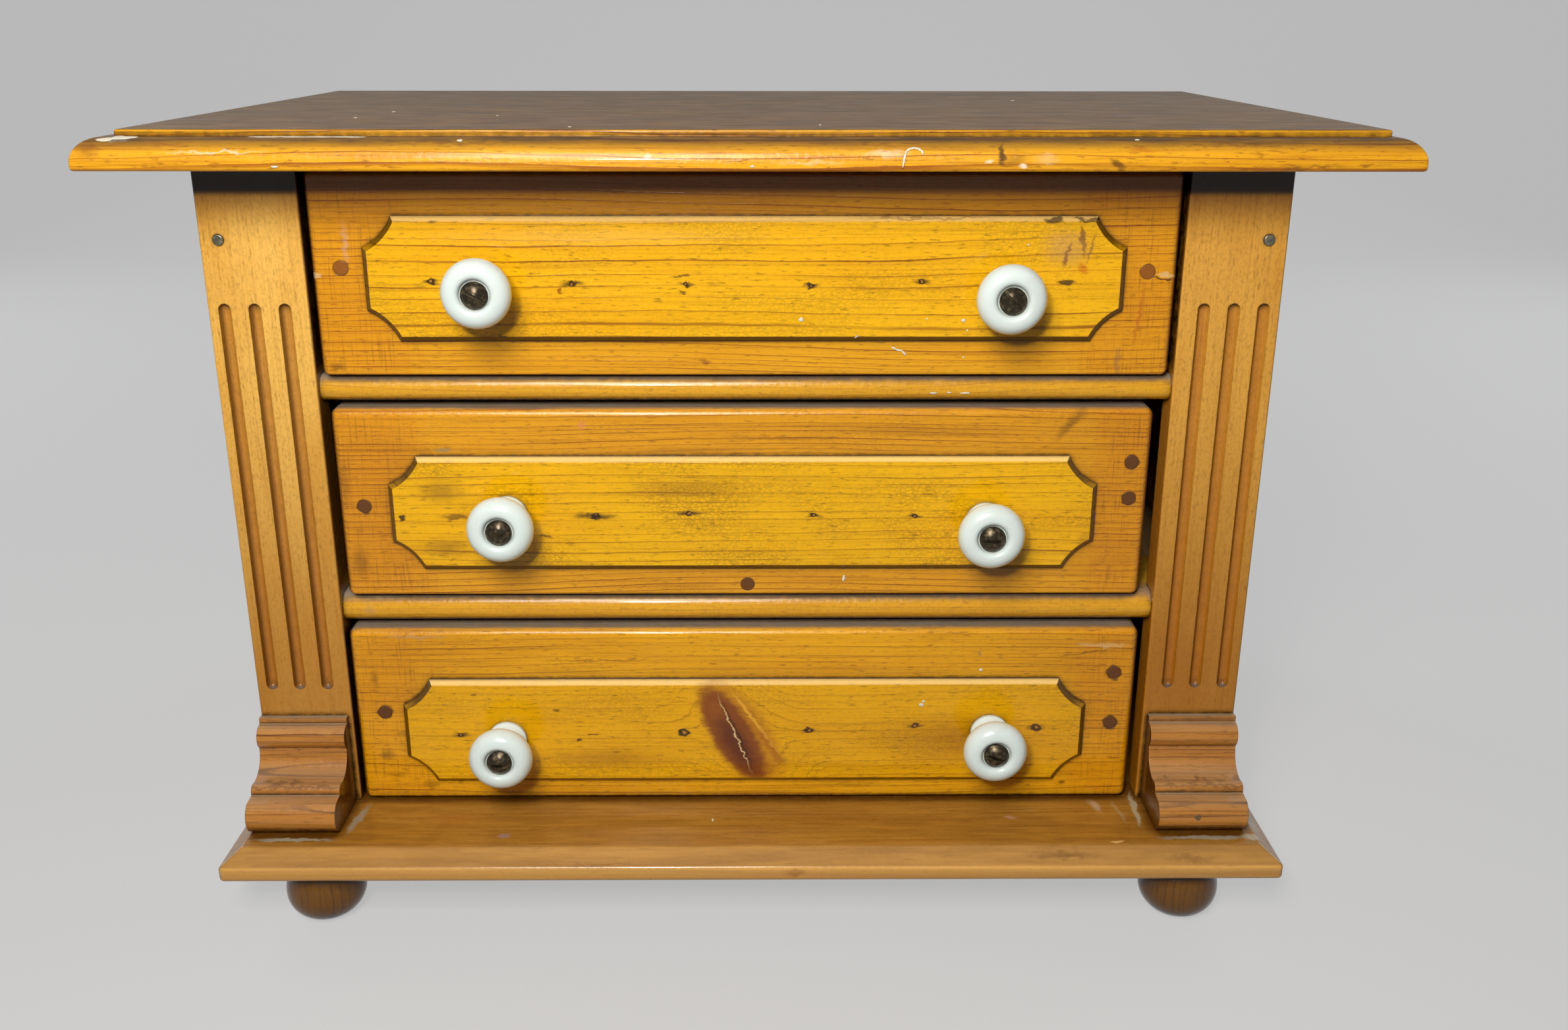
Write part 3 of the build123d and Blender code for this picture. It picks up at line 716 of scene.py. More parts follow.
@dataclass(frozen=True)
class DrippedPaint:
    """Dried drops of white emulsion paint: they read as matt, chalky and a little dirty."""

    name: str = "white_emulsion"
    colour: str = "#F0EDE2"
    dirt: str = "#CFC4A6"

    def material(self) -> Material:
        """Build the shader.

        Returns:
            The finished material.
        """
        material, tree, output = new_material(self.name)
        coords = add_node(tree, "TexCoord")
        grit = add_node(tree, "TexNoise", {
            "Vector": coords.outputs["Object"], "Scale": 1 / (0.6 * MM), "Detail": 2.0})
        colour = add_node(tree, "Mix", {
            0: grit, 6: linear(self.colour), 7: linear(self.dirt)}, data_type="RGBA")
        relief = add_node(tree, "Bump", {"Height": grit, "Distance": 0.1 * MM, "Strength": 0.5})
        shader = add_node(tree, "BsdfPrincipled", {
            "Base Color": colour, "Roughness": 0.6, "Normal": relief})
        tree.links.new(shader.outputs[0], output.inputs[0])
        return material


@dataclass(frozen=True)
class Paper:
    """Seamless studio paper: plain, pale and matt. Its glow is only seen, and lights nothing."""

    name: str = "studio_paper"
    colour: str = "#727374"
    glow: float = 0.46

    def material(self) -> Material:
        """Build the shader.

        Returns:
            The finished material.
        """
        material, tree, output = new_material(self.name)
        matt = add_node(tree, "BsdfPrincipled", {
            "Base Color": linear(self.colour), "Roughness": 0.9, "Specular IOR Level": 0.1})
        seen = seen_rays(tree)
        shine = add_node(tree, "Math", {0: seen, 1: self.glow}, operation="MULTIPLY")
        glow = add_node(tree, "Emission", {"Color": (1.0, 1.0, 1.0, 1.0), "Strength": shine})
        both = add_node(tree, "AddShader", {0: matt, 1: glow})
        tree.links.new(both.outputs[0], output.inputs[0])
        return material


def seen_rays(tree: Tree) -> Node:
    """Give 1 for a ray from the camera or off a mirror or glass, and 0 for one that gathers light.

    Args:
        tree: the node tree.

    Returns:
        The node that gives it.
    """
    rays = add_node(tree, "LightPath")
    bent = add_node(tree, "Math", {
        0: rays.outputs["Is Glossy Ray"], 1: rays.outputs["Is Transmission Ray"]}, operation="MAXIMUM")
    return add_node(tree, "Math", {0: rays.outputs["Is Camera Ray"], 1: bent},
                    operation="MAXIMUM")


# ---------------------------------------------------------------- sub-assemblies
def mesh_object(name: str, mesh: bmesh.types.BMesh, material: Material,
                smooth: bool = True) -> bpy.types.Object:
    """Turn a bmesh into an object at the origin.

    Args:
        name: the piece's name.
        mesh: its shape in metres, in the frame.
        material: its finish.
        smooth: whether its faces are shaded smooth.

    Returns:
        The new object.
    """
    data = bpy.data.meshes.new(name)
    bmesh.ops.recalc_face_normals(mesh, faces=mesh.faces)
    for face in mesh.faces:
        face.smooth = smooth
    mesh.to_mesh(data)
    mesh.free()
    data.materials.append(material)
    piece = bpy.data.objects.new(name, data)
    bpy.context.scene.collection.objects.link(piece)
    return piece


def dress(node: str, material: Material) -> None:
    """Give a CAD node its finish.

    Args:
        node: the CAD node's name.
        material: its finish.
    """
    node_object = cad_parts[node]
    node_object.data.materials.clear()
    node_object.data.materials.append(material)


@dataclass(frozen=True)
class Speck:
    """A dried drop of paint near a point of the surface, in mm."""

    x: float
    y: float
    z: float
    length: float
    height: float
    turn: float = 0.0  # degrees


@dataclass
class Splashes:
    """Dried paint on one CAD node, each drop pressed flat on the surface where it fell."""

    name: str
    body: str
    node: str
    specks: tuple
    thickness: float = 0.35  # mm
    sink: float = 0.3  # share of the thickness below the surface

    def build(self, paint: Material) -> bpy.types.Object:
        """Make the drops as one piece.

        Args:
            paint: the drops' finish.

        Returns:
            The piece.
        """
        chance = random.Random(self.name)
        lobes, swell = 3, 0.14  # how a drop's outline wanders
        mesh = bmesh.new()
        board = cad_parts[self.node]
        for speck in self.specks:
            drop = bmesh.ops.create_icosphere(mesh, subdivisions=2, radius=0.5)
            phase = chance.uniform(0.0, 6.0)
            for vert in drop["verts"]:
                vert.co *= 1 + swell * math.sin(lobes * math.atan2(vert.co.y, vert.co.x) + phase)
            _, spot, normal, _ = board.closest_point_on_mesh(Vector((speck.x, speck.y, speck.z)) * MM)
            size = Matrix.Diagonal((speck.length * MM, speck.height * MM, self.thickness * MM, 1.0))
            turn = Matrix.Rotation(math.radians(speck.turn), 4, "Z")
            side = Vector((0.0, 0.0, 1.0)).cross(normal)
            side = side.normalized() if side.length > 0.2 else Vector((1.0, 0.0, 0.0))
            seat = Matrix((side, normal.cross(side), normal)).transposed().to_4x4()
            place = Matrix.Translation(spot + normal * (0.5 - self.sink) * self.thickness * MM * 0.5)
            bmesh.ops.transform(mesh, matrix=place @ seat @ turn @ size, verts=drop["verts"])
        piece = mesh_object(self.name, mesh, paint)
        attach(piece, self.body)
        LOG.info("%s: %d drops", self.name, len(self.specks))
        return piece


def paint_stroke(points: tuple, y: float, width: float) -> tuple:
    """Give a thin run of paint as overlapping drops.

    Args:
        points: its x and z along the run, in mm.
        y: how far back the surface is, in mm.
        width: how wide the run is, in mm.

    Returns:
        The drops.
    """
    drops = []
    for (x0, z0), (x1, z1) in zip(points, points[1:]):
        reach = math.hypot(x1 - x0, z1 - z0)
        lean = math.degrees(math.atan2(z1 - z0, x1 - x0))
        drops.append(Speck((x0 + x1) / 2, y, (z0 + z1) / 2, reach * 1.5, width, lean))
    return tuple(drops)


@dataclass
class Drawer:
    """One drawer: its front, plaque, box, pegs, knobs and their screws."""

    name: str
    front: Pine
    plaque: Pine
    box: Pine
    peg: Pine

    def build(self, porcelain: Material, steel: Material) -> None:
        """Dress the drawer's nodes.

        Args:
            porcelain: the knobs' finish.
            steel: the screws' and nuts' finish.
        """
        dress(f"{self.name}_front", self.front.material())
        dress(f"{self.name}_plaque", self.plaque.material())
        box = self.box.material()
        for part in ("side_left", "side_right", "back", "bottom"):
            dress(f"{self.name}_{part}", box)
        dress(f"{self.name}_front_pegs", self.peg.material())
        for hand in ("left", "right"):
            dress(f"{self.name}_knob_{hand}", porcelain)
        dress(f"{self.name}_knob_screws", steel)
        dress(f"{self.name}_knob_nuts", steel)
        LOG.info("dressed the %s drawer", self.name)


@dataclass
class Case:
    """The carcass with its mouldings, pilasters, corbels and feet."""

    finishes: dict

    def build(self, steel: Material) -> None:
        """Dress the case's nodes.

        Args:
            steel: the nails' and pins' finish.
        """
        for finish, nodes in self.finishes.items():
            material = finish.material()
            for node in nodes:
                dress(node, material)
            LOG.info("dressed %s", ", ".join(nodes))
        dress("pilaster_nails", BronzedSteel("dull_nail_steel", "#6E6A58", "#A8A48E").material())
        dress("back_panel_pins", steel)


# ---------------------------------------------------------------- studio
@dataclass(frozen=True)
class Lamp:
    """A square soft light that points at the chest."""

    name: str
    place: tuple
    size: float
    power: float
    colour: str = "#FFFFFF"
    target: tuple = (0.0, -0.05, 0.16)

    def build(self) -> None:
        """Hang the lamp."""
        light = bpy.data.lights.new(self.name, "AREA")
        light.size = self.size
        light.energy = self.power
        light.color = linear(self.colour)[:3]
        lamp = bpy.data.objects.new(self.name, light)
        aim = Vector(self.target) - Vector(self.place)
        lamp.matrix_world = Matrix.Translation(self.place) @ aim.to_track_quat("-Z", "Y").to_matrix().to_4x4()
        bpy.context.scene.collection.objects.link(lamp)


@dataclass
class Studio:
    """Paper sweep, lamps, sky and camera."""

    # The eye, in mm, and where its frame points: from the fit to the photograph.
    eye: tuple = (7.53, -623.53, 340.67)
    right: tuple = (0.99997378, -0.00715179, 0.00113434)
    up: tuple = (0.00127238, 0.32775364, 0.94476237)
    focal: float = 33.03  # mm on a 36 mm wide frame
    sweep_back: float = 1.5  # metres behind the chest
    ambient: float = 0.07
    backdrop: float = 0.46
    lamps: tuple = (
        Lamp("low_key", (-0.10, -0.73, 0.490), 0.05, 1.8, "#FFF8EE"),
        Lamp("high_key", (-0.13, -0.73, 0.69), 0.28, 5.3, "#FFF9F0"),
        Lamp("left_fill", (-1.3, 0.95, 0.85), 0.8, 7.0, "#FFFFFF"),
        Lamp("right_fill", (1.3, 0.95, 0.85), 0.8, 7.0, "#FFFFFF"),
    )

    def build(self) -> None:
        """Set the stage."""
        self.paper()
        self.sky()
        for lamp in self.lamps:
            lamp.build()
        self.camera()
        bpy.context.scene.view_settings.view_transform = "Standard"

    def paper(self) -> None:
        """Lay the paper: a floor that curves up behind the chest."""
        mesh = bmesh.new()
        reach, radius, rise, steps = 4.0, 0.6, 3.0, 24
        start = mesh.verts.new((-reach, -reach, 0.0))
        bend = mesh.verts.new((-reach, self.sweep_back, 0.0))
        mesh.edges.new((start, bend))
        turn = bmesh.ops.spin(mesh, geom=[bend], cent=(-reach, self.sweep_back, radius), axis=(1, 0, 0),
                              angle=math.pi / 2, steps=steps)
        last = [g for g in turn["geom_last"] if isinstance(g, bmesh.types.BMVert)][0]
        top = mesh.verts.new(last.co + Vector((0, 0, rise)))
        mesh.edges.new((last, top))
        wide = bmesh.ops.extrude_edge_only(mesh, edges=mesh.edges[:])
        moved = [g for g in wide["geom"] if isinstance(g, bmesh.types.BMVert)]
        bmesh.ops.translate(mesh, vec=(2 * reach, 0, 0), verts=moved)
        paper = mesh_object("paper_sweep", mesh, Paper().material())

    def sky(self) -> None:
        """Light the room evenly and dimly, behind a pale backdrop."""
        world = bpy.data.worlds.new("room")
        world.use_nodes = True
        tree = world.node_tree
        tree.nodes.clear()
        seen = seen_rays(tree)
        strength = add_node(tree, "MapRange", {
            "Value": seen, "To Min": self.ambient, "To Max": self.backdrop})
        background = add_node(tree, "Background", {
            "Color": linear("#FAFBFF"), "Strength": strength})
        add_node(tree, "OutputWorld", {"Surface": background})
        bpy.context.scene.world = world

    def camera(self) -> None:
        """Stand the camera where the photograph was taken."""
        lens = bpy.data.cameras.new("camera")
        lens.sensor_width = 36.0
        lens.lens = self.focal
        lens.clip_start = 0.01
        camera = bpy.data.objects.new("camera", lens)
        right, up = Vector(self.right), Vector(self.up)
        turn = Matrix((right, up, right.cross(up))).transposed().to_4x4()
        camera.matrix_world = Matrix.Translation(Vector(self.eye) * MM) @ turn
        bpy.context.scene.collection.objects.link(camera)
        bpy.context.scene.camera = camera


# ---------------------------------------------------------------- what has happened to this chest
def pin_knots(places: tuple, dark: str = "#2E1A08", pale: str = "#B98330") -> tuple:
    """Give a row of small knots: a dark pointed fleck with a pale middle each.

    Args:
        places: for each knot its x, z, length and height, in mm.
        dark: colour of the fleck.
        pale: colour of its middle.

    Returns:
        The marks, three for each knot.
    """
    marks = []
    for x, z, length, height in places:
        marks.append(on_front(x, z, length * 1.4, height * 1.3, dark, 0.85, soft=0.8))
        marks.append(on_front(x, z, height * 1.6, height * 1.4, dark, 0.9, soft=0.35))
        marks.append(on_front(x, z, height * 0.6, height * 0.5, pale, 0.85, soft=0.4))
    return tuple(marks)


def peg_rims(node: str, heights: tuple, colour: str = "#3A2008", across: float = 6.6) -> tuple:
    """Give the dark rings round the pegs, which hide their middles.

    Args:
        node: the pegs' CAD node.
        heights: for the left and the right end, the pegs' heights in mm.
        colour: the rings' colour.
        across: how wide a ring is, in mm.

    Returns:
        The marks.
    """
    low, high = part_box(node)
    sides = (low.x / MM + PEG / 2, high.x / MM - PEG / 2)
    return tuple(on_front(x, z, across, across, colour, 0.7, soft=0.25)
                 for x, row in zip(sides, heights) for z in row)


def top_drawer_marks() -> tuple:
    """Give the marks of the top drawer: those of its front and those of its plaque.

    Returns:
        The front's marks and the plaque's.
    """
    front = peg_rims("top_front_pegs", ((254.2,), (252.8,)), "#5A300F") + (
        on_front(-158.8, 251.6, 6.0, 2.2, "#E5C08A", 0.75, turn=8.0),
        on_front(-147.0, 263.3, 3.0, 20.0, "#C9A9A0", 0.35, turn=2.0, soft=0.9),
        on_front(151.5, 251.6, 11.0, 1.8, "#E0B878", 0.85, turn=4.0),
        on_front(148.5, 250.4, 14.0, 1.0, "#3A1E0C", 0.8, turn=6.0),
        on_front(141.9, 236.0, 2.4, 30.0, "#B0571F", 0.5, turn=6.0, soft=0.7),
        on_front(135.3, 219.0, 3.4, 15.0, "#6B5A45", 0.4, soft=0.8),
        on_front(-18.0, 219.6, 7.0, 1.5, "#7A3E18", 0.6, soft=0.7),
        on_front(-154.0, 217.5, 9.0, 4.0, "#4A2A10", 0.5, soft=0.8),
    )
    plaque = pin_knots(((-116.3, 249.7, 6.6, 2.4), (-65.1, 249.0, 8.5, 2.1), (-24.2, 248.9, 6.3, 1.6),
                        (21.0, 248.3, 5.8, 1.9), (61.3, 249.7, 6.3, 1.7))) + (
        on_front(113.5, 249.5, 9.0, 2.6, "#2C1A10", 0.85, soft=0.5),
        on_front(119.2, 254.6, 8.0, 4.0, "#C2560E", 0.55, turn=50.0, soft=0.8),
        on_front(-70.3, 246.7, 2.2, 3.4, "#8A2E0A", 0.75, turn=30.0, soft=0.6),
        on_front(-25.8, 251.9, 9.0, 1.0, "#4A2A0A", 0.75, soft=0.6),
        on_front(-25.5, 245.8, 4.0, 1.3, "#4A2A0A", 0.75, soft=0.6),
        on_front(-14.0, 249.2, 7.0, 2.6, "#7A4A10", 0.4, soft=0.9),
        on_front(-114.2, 271.0, 4.4, 2.0, "#4A3A22", 0.7, soft=0.5),
        on_front(-91.8, 230.0, 4.0, 1.8, "#2E1A0A", 0.8, soft=0.5),
        on_front(118.6, 265.0, 2.6, 14.0, "#6E3C1A", 0.75, turn=-8.0, soft=0.5),
        on_front(113.4, 259.5, 2.2, 12.0, "#6E3012", 0.8, turn=14.0, soft=0.5),
        on_front(122.0, 262.0, 1.6, 15.0, "#7A5030", 0.6, turn=12.0, soft=0.6),
        on_front(113.0, 262.0, 24.0, 18.0, "#B48C5E", 0.4, turn=10.0, soft=0.8),
        on_front(108.0, 271.4, 9.0, 2.0, "#33221A", 0.8, soft=0.5),
        on_front(121.0, 271.8, 15.0, 1.4, "#33221A", 0.75, soft=0.5),
        on_front(-10.0, 236.0, 150.0, 14.0, "#F2B400", 0.35, soft=1.0),
        on_front(-60.0, 266.0, 160.0, 10.0, "#F0BE5A", 0.35, soft=1.0),
        on_front(62.0, 272.4, 60.0, 1.0, "#7A5A30", 0.5, soft=0.6),
    )
    return front, plaque


def middle_drawer_marks() -> tuple:
    """Give the marks of the middle drawer: those of its front and those of its plaque.

    Returns:
        The front's marks and the plaque's.
    """
    front = peg_rims("middle_front_pegs", ((163.0,), (165.8, 180.3))) + (
        on_front(-117.3, 185.6, 11.0, 1.6, "#8C8668", 0.6, soft=0.8),
        on_front(-64.4, 195.1, 4.0, 5.0, "#E08A62", 0.45, soft=0.9),
        on_front(-153.0, 140.0, 10.0, 18.0, "#4A2A10", 0.45, soft=0.9),
        on_front(-156.0, 172.0, 8.0, 30.0, "#5A3212", 0.35, soft=1.0),
        on_front(60.0, 193.0, 120.0, 7.0, "#8A5216", 0.35, soft=1.0),
        on_front(120.0, 196.0, 26.0, 6.0, "#4E3013", 0.5, turn=-50.0, soft=0.9),
        on_front(10.0, 190.0, 60.0, 3.0, "#6E400F", 0.4, soft=0.9),
    )
    plaque = pin_knots(((-24.9, 161.0, 11.0, 2.0), (22.9, 159.9, 6.3, 1.7), (61.5, 160.1, 7.0, 1.8))) + (
        on_front(-60.6, 160.0, 24.0, 3.4, "#2E1A0A", 0.85, soft=0.8),
        on_front(-60.6, 160.2, 5.5, 3.6, "#241208", 0.9, soft=0.4),
        on_front(-60.8, 160.4, 2.2, 1.3, "#8A6030", 0.8, soft=0.4),
        on_front(-134.2, 159.3, 3.6, 2.4, "#1E1208", 0.9, soft=0.5),
        on_front(-113.0, 159.8, 20.0, 3.0, "#4A2C0E", 0.7, soft=0.8),
        on_front(-119.0, 170.0, 26.0, 14.0, "#6E4410", 0.5, soft=1.0),
        on_front(-118.0, 147.0, 28.0, 12.0, "#74480F", 0.5, soft=1.0),
        on_front(-25.0, 171.0, 70.0, 12.0, "#8A5A10", 0.45, soft=1.0),
        on_front(-80.0, 152.0, 8.0, 1.4, "#3A220C", 0.75, soft=0.6),
        on_front(20.0, 148.0, 110.0, 12.0, "#F0B000", 0.3, soft=1.0),
        on_front(128.0, 148.0, 10.0, 18.0, "#7A4A10", 0.4, soft=1.0),
    )
    return front, plaque


def bottom_drawer_marks() -> tuple:
    """Give the marks of the bottom drawer: those of its front and those of its plaque.

    Returns:
        The front's marks and the plaque's.
    """
    smudges = tuple(
        on_front(x, z, length, height, "#4A2A0C", share, soft=0.9)
        for x, z, length, height, share in (
            (-150.0, 56.0, 9.0, 7.0, 0.5), (-133.0, 42.5, 12.0, 5.0, 0.45), (-121.0, 44.5, 5.0, 5.0, 0.5),
            (-140.0, 66.0, 12.0, 4.0, 0.35), (-152.0, 90.0, 5.0, 12.0, 0.35), (-147.0, 47.0, 14.0, 3.0, 0.4),
            (146.0, 54.0, 6.0, 2.0, 0.55), (125.9, 42.5, 3.5, 2.5, 0.7), (40.0, 42.0, 40.0, 3.0, 0.25)))
    front = peg_rims("bottom_front_pegs", ((75.2,), (70.0, 92.3)), across=7.6) + smudges + (
        on_front(138.0, 104.2, 30.0, 2.4, "#D9B27A", 0.65, turn=2.0, soft=0.8),
        on_front(131.0, 101.0, 30.0, 1.0, "#4A2A0C", 0.6, turn=-8.0, soft=0.7),
        on_front(89.8, 101.1, 1.8, 6.0, "#8A7A4A", 0.5, soft=0.9),
        on_front(-134.0, 108.5, 34.0, 2.4, "#C8A070", 0.5, soft=0.9),
        on_front(-60.0, 98.0, 60.0, 1.4, "#5A3410", 0.5, soft=0.8),
    )
    plaque = (
        on_front(-5.2, 67.0, 27.0, 62.0, "#A8641A", 0.55, turn=-30.0, soft=0.4, bends_grain=True),
        on_front(-9.0, 66.0, 20.0, 58.0, "#7A3C14", 0.9, turn=-28.0, soft=0.35),
        on_front(-7.5, 62.0, 14.0, 42.0, "#522210", 0.75, turn=-28.0, soft=0.8),
        on_front(-16.0, 78.0, 12.0, 14.0, "#9A5A1C", 0.5, turn=-20.0, soft=0.9),
        on_front(1.0, 70.5, 1.6, 48.0, "#EDB53A", 0.75, turn=-34.0, soft=0.6),
        on_front(5.5, 62.0, 5.0, 34.0, "#9A5410", 0.55, turn=-34.0, soft=0.8),
        on_front(-8.3, 67.0, 0.9, 43.0, "#D8C08A", 0.9, turn=-21.8, soft=0.5),
        on_front(-7.1, 67.0, 0.8, 43.0, "#22100A", 0.7, turn=-21.8, soft=0.5),
    ) + pin_knots(((-118.6, 66.8, 7.7, 2.2), (64.4, 70.5, 7.0, 2.0), (113.1, 69.7, 6.5, 3.0),
                   (21.4, 68.4, 4.6, 2.4), (-28.6, 67.6, 4.2, 3.4))) + (
        on_front(-65.5, 66.6, 7.0, 1.5, "#3A2008", 0.8, turn=-8.0, soft=0.6),
        on_front(-71.2, 64.4, 3.2, 2.2, "#2E1A08", 0.85, turn=-30.0, soft=0.6),
        on_front(-112.3, 85.0, 3.0, 1.4, "#4A2A0C", 0.7, soft=0.6),
        on_front(-80.0, 78.0, 3.0, 1.0, "#4A2A0C", 0.7, soft=0.6),
        on_front(84.0, 64.0, 90.0, 34.0, "#8A5000", 0.5, soft=1.0),
        on_front(-60.0, 56.0, 80.0, 14.0, "#8E5600", 0.45, soft=1.0),
    )
    return front, plaque


def top_board_marks() -> tuple:
    """Give the knot, dents and worn places of the top board's moulded edge.

    Returns:
        The marks.
    """
    def lip(x: float, z: float, length: float, height: float, colour: str, strength: float,
            turn: float = 0.0, soft: float = 0.6) -> Mark:
        """Give a mark on the moulded front edge only."""
        return Mark((x, -128.0, z), (length, 16.0, height), colour, strength, turn, soft)

    return (
        lip(84.0, 296.5, 3.0, 9.0, "#2A1A0A", 0.85),
        lip(88.0, 295.5, 14.0, 8.0, "#7A4A14", 0.6, soft=0.9),
        lip(79.7, 294.6, 4.0, 2.4, "#F0E2C0", 0.85),
        lip(91.4, 293.4, 5.0, 2.4, "#F5EAD0", 0.85),
        lip(99.0, 295.5, 12.0, 5.0, "#E8CFA0", 0.45, soft=0.9),
        lip(122.7, 294.0, 9.0, 3.0, "#4A3010", 0.75, turn=40.0),
        lip(131.0, 298.5, 16.0, 3.0, "#C05A10", 0.5, soft=0.9),
        lip(45.2, 297.4, 22.0, 3.4, "#F2DCC0", 0.6, soft=0.9),
        lip(20.0, 294.2, 34.0, 2.2, "#F5E0B0", 0.5, soft=0.9),
        lip(-34.7, 296.5, 4.5, 2.6, "#F0DCC8", 0.8, soft=0.7),
        lip(-178.0, 297.8, 42.0, 1.3, "#F3E6CE", 0.6, soft=0.8),
        lip(-195.0, 300.0, 20.0, 2.0, "#B5631A", 0.5, soft=0.9),
        lip(-221.0, 298.0, 12.0, 9.0, "#7A3E12", 0.55, soft=0.9),
        lip(46.0, 302.6, 12.0, 2.0, "#EFD9A8", 0.7),
        lip(73.0, 303.2, 16.0, 2.4, "#EBD9B8", 0.75),
        lip(66.0, 303.0, 6.0, 2.0, "#3A2410", 0.6),
        lip(-97.0, 300.4, 60.0, 1.4, "#8A4E10", 0.4, soft=0.8),
        lip(185.0, 292.8, 60.0, 2.4, "#5A3A14", 0.6, soft=0.9),
        lip(160.0, 300.0, 90.0, 1.6, "#8A5212", 0.45, soft=0.9),
        lip(-150.0, 303.6, 52.0, 2.2, "#F2E9D8", 0.75, soft=0.5),
        Mark((-212.0, -127.0, 303.0), (13.0, 9.0, 5.0), "#F4F0E6", 0.95, 0.0, 0.3),
    )


def base_board_marks() -> tuple:
    """Give the dust, wax and scratches of the base board, round the corbels above all.

    Returns:
        The marks.
    """
    dirt = "#A8A08C"
    return (
        on_top(154.4, -110.0, 3.4, 30.0, "#B5A98E", 0.9, turn=-4.0, soft=0.5),
        on_top(-159.6, -116.0, 4.2, 28.0, "#9A907A", 0.85, turn=-9.0, soft=0.6),
        on_top(-181.0, -131.5, 40.0, 3.4, dirt, 0.85, soft=0.6),
        on_top(177.0, -131.6, 46.0, 4.0, dirt, 0.85, soft=0.6),
        on_top(199.0, -118.0, 9.0, 30.0, dirt, 0.6, soft=0.8),
        on_top(196.0, -131.0, 9.0, 5.0, "#B5AC96", 0.8, soft=0.6),
        on_top(138.8, -107.5, 5.0, 14.0, "#C9B89A", 0.55, turn=14.0, soft=0.8),
        on_top(147.5, -112.0, 3.0, 22.0, "#B79C74", 0.5, turn=8.0, soft=0.8),
        on_top(141.8, -134.4, 7.0, 2.4, "#E0B870", 0.85, soft=0.4),
        on_top(102.9, -116.1, 7.0, 4.0, "#C79C80", 0.55, soft=0.8),
        on_top(112.1, -110.5, 9.0, 3.0, "#B08A40", 0.5, soft=0.8),
        on_top(-98.9, -128.8, 7.0, 5.0, "#A08A92", 0.5, soft=0.8),
        on_top(-120.0, -116.0, 40.0, 14.0, "#B8702A", 0.35, soft=1.0),
        Mark((15.6, -143.0, 28.0), (11.0, 6.0, 5.0), "#8A4E14", 0.6, 0.0, 0.8),
        Mark((120.0, -140.0, 33.0), (40.0, 12.0, 3.0), "#6A4014", 0.5, 0.0, 0.9),
        Mark((170.0, -140.0, 32.0), (30.0, 12.0, 3.0), "#6A4014", 0.5, 0.0, 0.9),
        Mark((-60.0, -143.5, 31.0), (70.0, 6.0, 1.6), "#6A4818", 0.4, 0.0, 0.9),
    )


def splashes() -> tuple:
    """Give all the paint drops, node by node.

    Returns:
        The sets of drops.
    """
    arc = tuple((54.6 + 2.9 * math.cos(a), 297.6 + 2.6 * math.sin(a))
                for a in (math.pi * step / 6 for step in range(7)))
    hook = ((50.9, 293.6),) + tuple(reversed(arc))
    ledge = ((-167, 303.6), (-158, 303.8), (-150, 303.6), (-141, 303.8), (-131, 303.6))
    squiggle = ((51.5, 224.9), (53.2, 224.0), (55.0, 223.6), (56.4, 222.2))
    return (
        Splashes("paint_on_top_plaque", "top_drawer", "top_plaque", (
            Speck(17.6, -104, 235.9, 1.8, 1.7), Speck(38.0, -104, 229.4, 2.4, 0.9, 52),
            Speck(76.9, -104, 235.6, 1.6, 1.4), Speck(78.5, -104, 231.9, 0.9, 0.8),
            Speck(63.6, -104, 236.2, 0.8, 0.9), Speck(99.2, -104, 263.0, 0.9, 0.9))),
        Splashes("paint_on_top_front", "top_drawer", "top_front",
                 paint_stroke(squiggle, -100.7, 0.8) + (Speck(77.9, -100.7, 221.1, 0.9, 0.7),)),
        Splashes("paint_on_middle_front", "middle_drawer", "middle_front", (
            Speck(34.8, -100.7, 133.1, 2.9, 1.2, 80),)),
        Splashes("paint_on_bottom_plaque", "bottom_drawer", "bottom_plaque", (
            Speck(66.6, -104, 79.7, 2.2, 1.6), Speck(67.4, -104, 81.2, 1.4, 1.2, 60))),
        Splashes("paint_on_bottom_front", "bottom_drawer", "bottom_front", (
            Speck(90.3, -100.7, 93.6, 1.6, 1.3),)),
        Splashes("paint_on_rail", "case", "rail_upper", (
            Speck(67.5, -103, 205.8, 3.0, 0.9), Speck(73.5, -103, 206.2, 2.0, 0.7),
            Speck(79.5, -103, 205.8, 4.0, 0.8))),
        Splashes("paint_on_top_board", "case", "top_board", paint_stroke(hook, -131.0, 0.8) + (
            Speck(-97.4, -127.5, 303.0, 2.0, 1.6), Speck(-158.7, -131, 293.0, 2.6, 0.8),
            Speck(0.5, -131, 293.2, 1.6, 0.8), Speck(129.9, -127, 303.6, 1.8, 0.8),
            Speck(116.5, 56.0, 304.4, 1.8, 2.6), Speck(-149.2, -63.4, 304.4, 1.4, 1.8),
            Speck(-143.7, -28.0, 304.4, 1.6, 2.4), Speck(-62.7, -110.1, 304.4, 1.2, 1.6),
            Speck(24.1, -99.8, 304.4, 1.0, 1.4), Speck(-98.2, -51.5, 304.4, 1.0, 1.6),
            Speck(-211.5, -125.5, 304.0, 7.0, 3.6), Speck(-216.0, -127.0, 303.2, 6.0, 2.6, 8),
            Speck(-208.0, -124.5, 304.2, 5.0, 2.6, -10))
            + paint_stroke(ledge, -124.0, 1.3)),
        Splashes("paint_on_base_board", "case", "base_board", (
            Speck(-17.1, -117.4, 35.4, 0.9, 1.8),)),
    )


@dataclass(frozen=True)
class Levels:
    """Where the case's faces lie, in mm: the finishes go by them."""

    face: float  # fronts of the pilasters and drawers
    plaque: float  # fronts of the plaques
    eaves: float  # lower face of the top board
    nose: float  # front of the base board
    plinth: float  # upper face of the base board

    def overhang_shade(self) -> Band:
        """Give the painted shade that the top board's overhang casts on what lies under it."""
        return Band("Z", self.eaves - 25.4, self.eaves - 8.4, "#7A4410", 0.5)


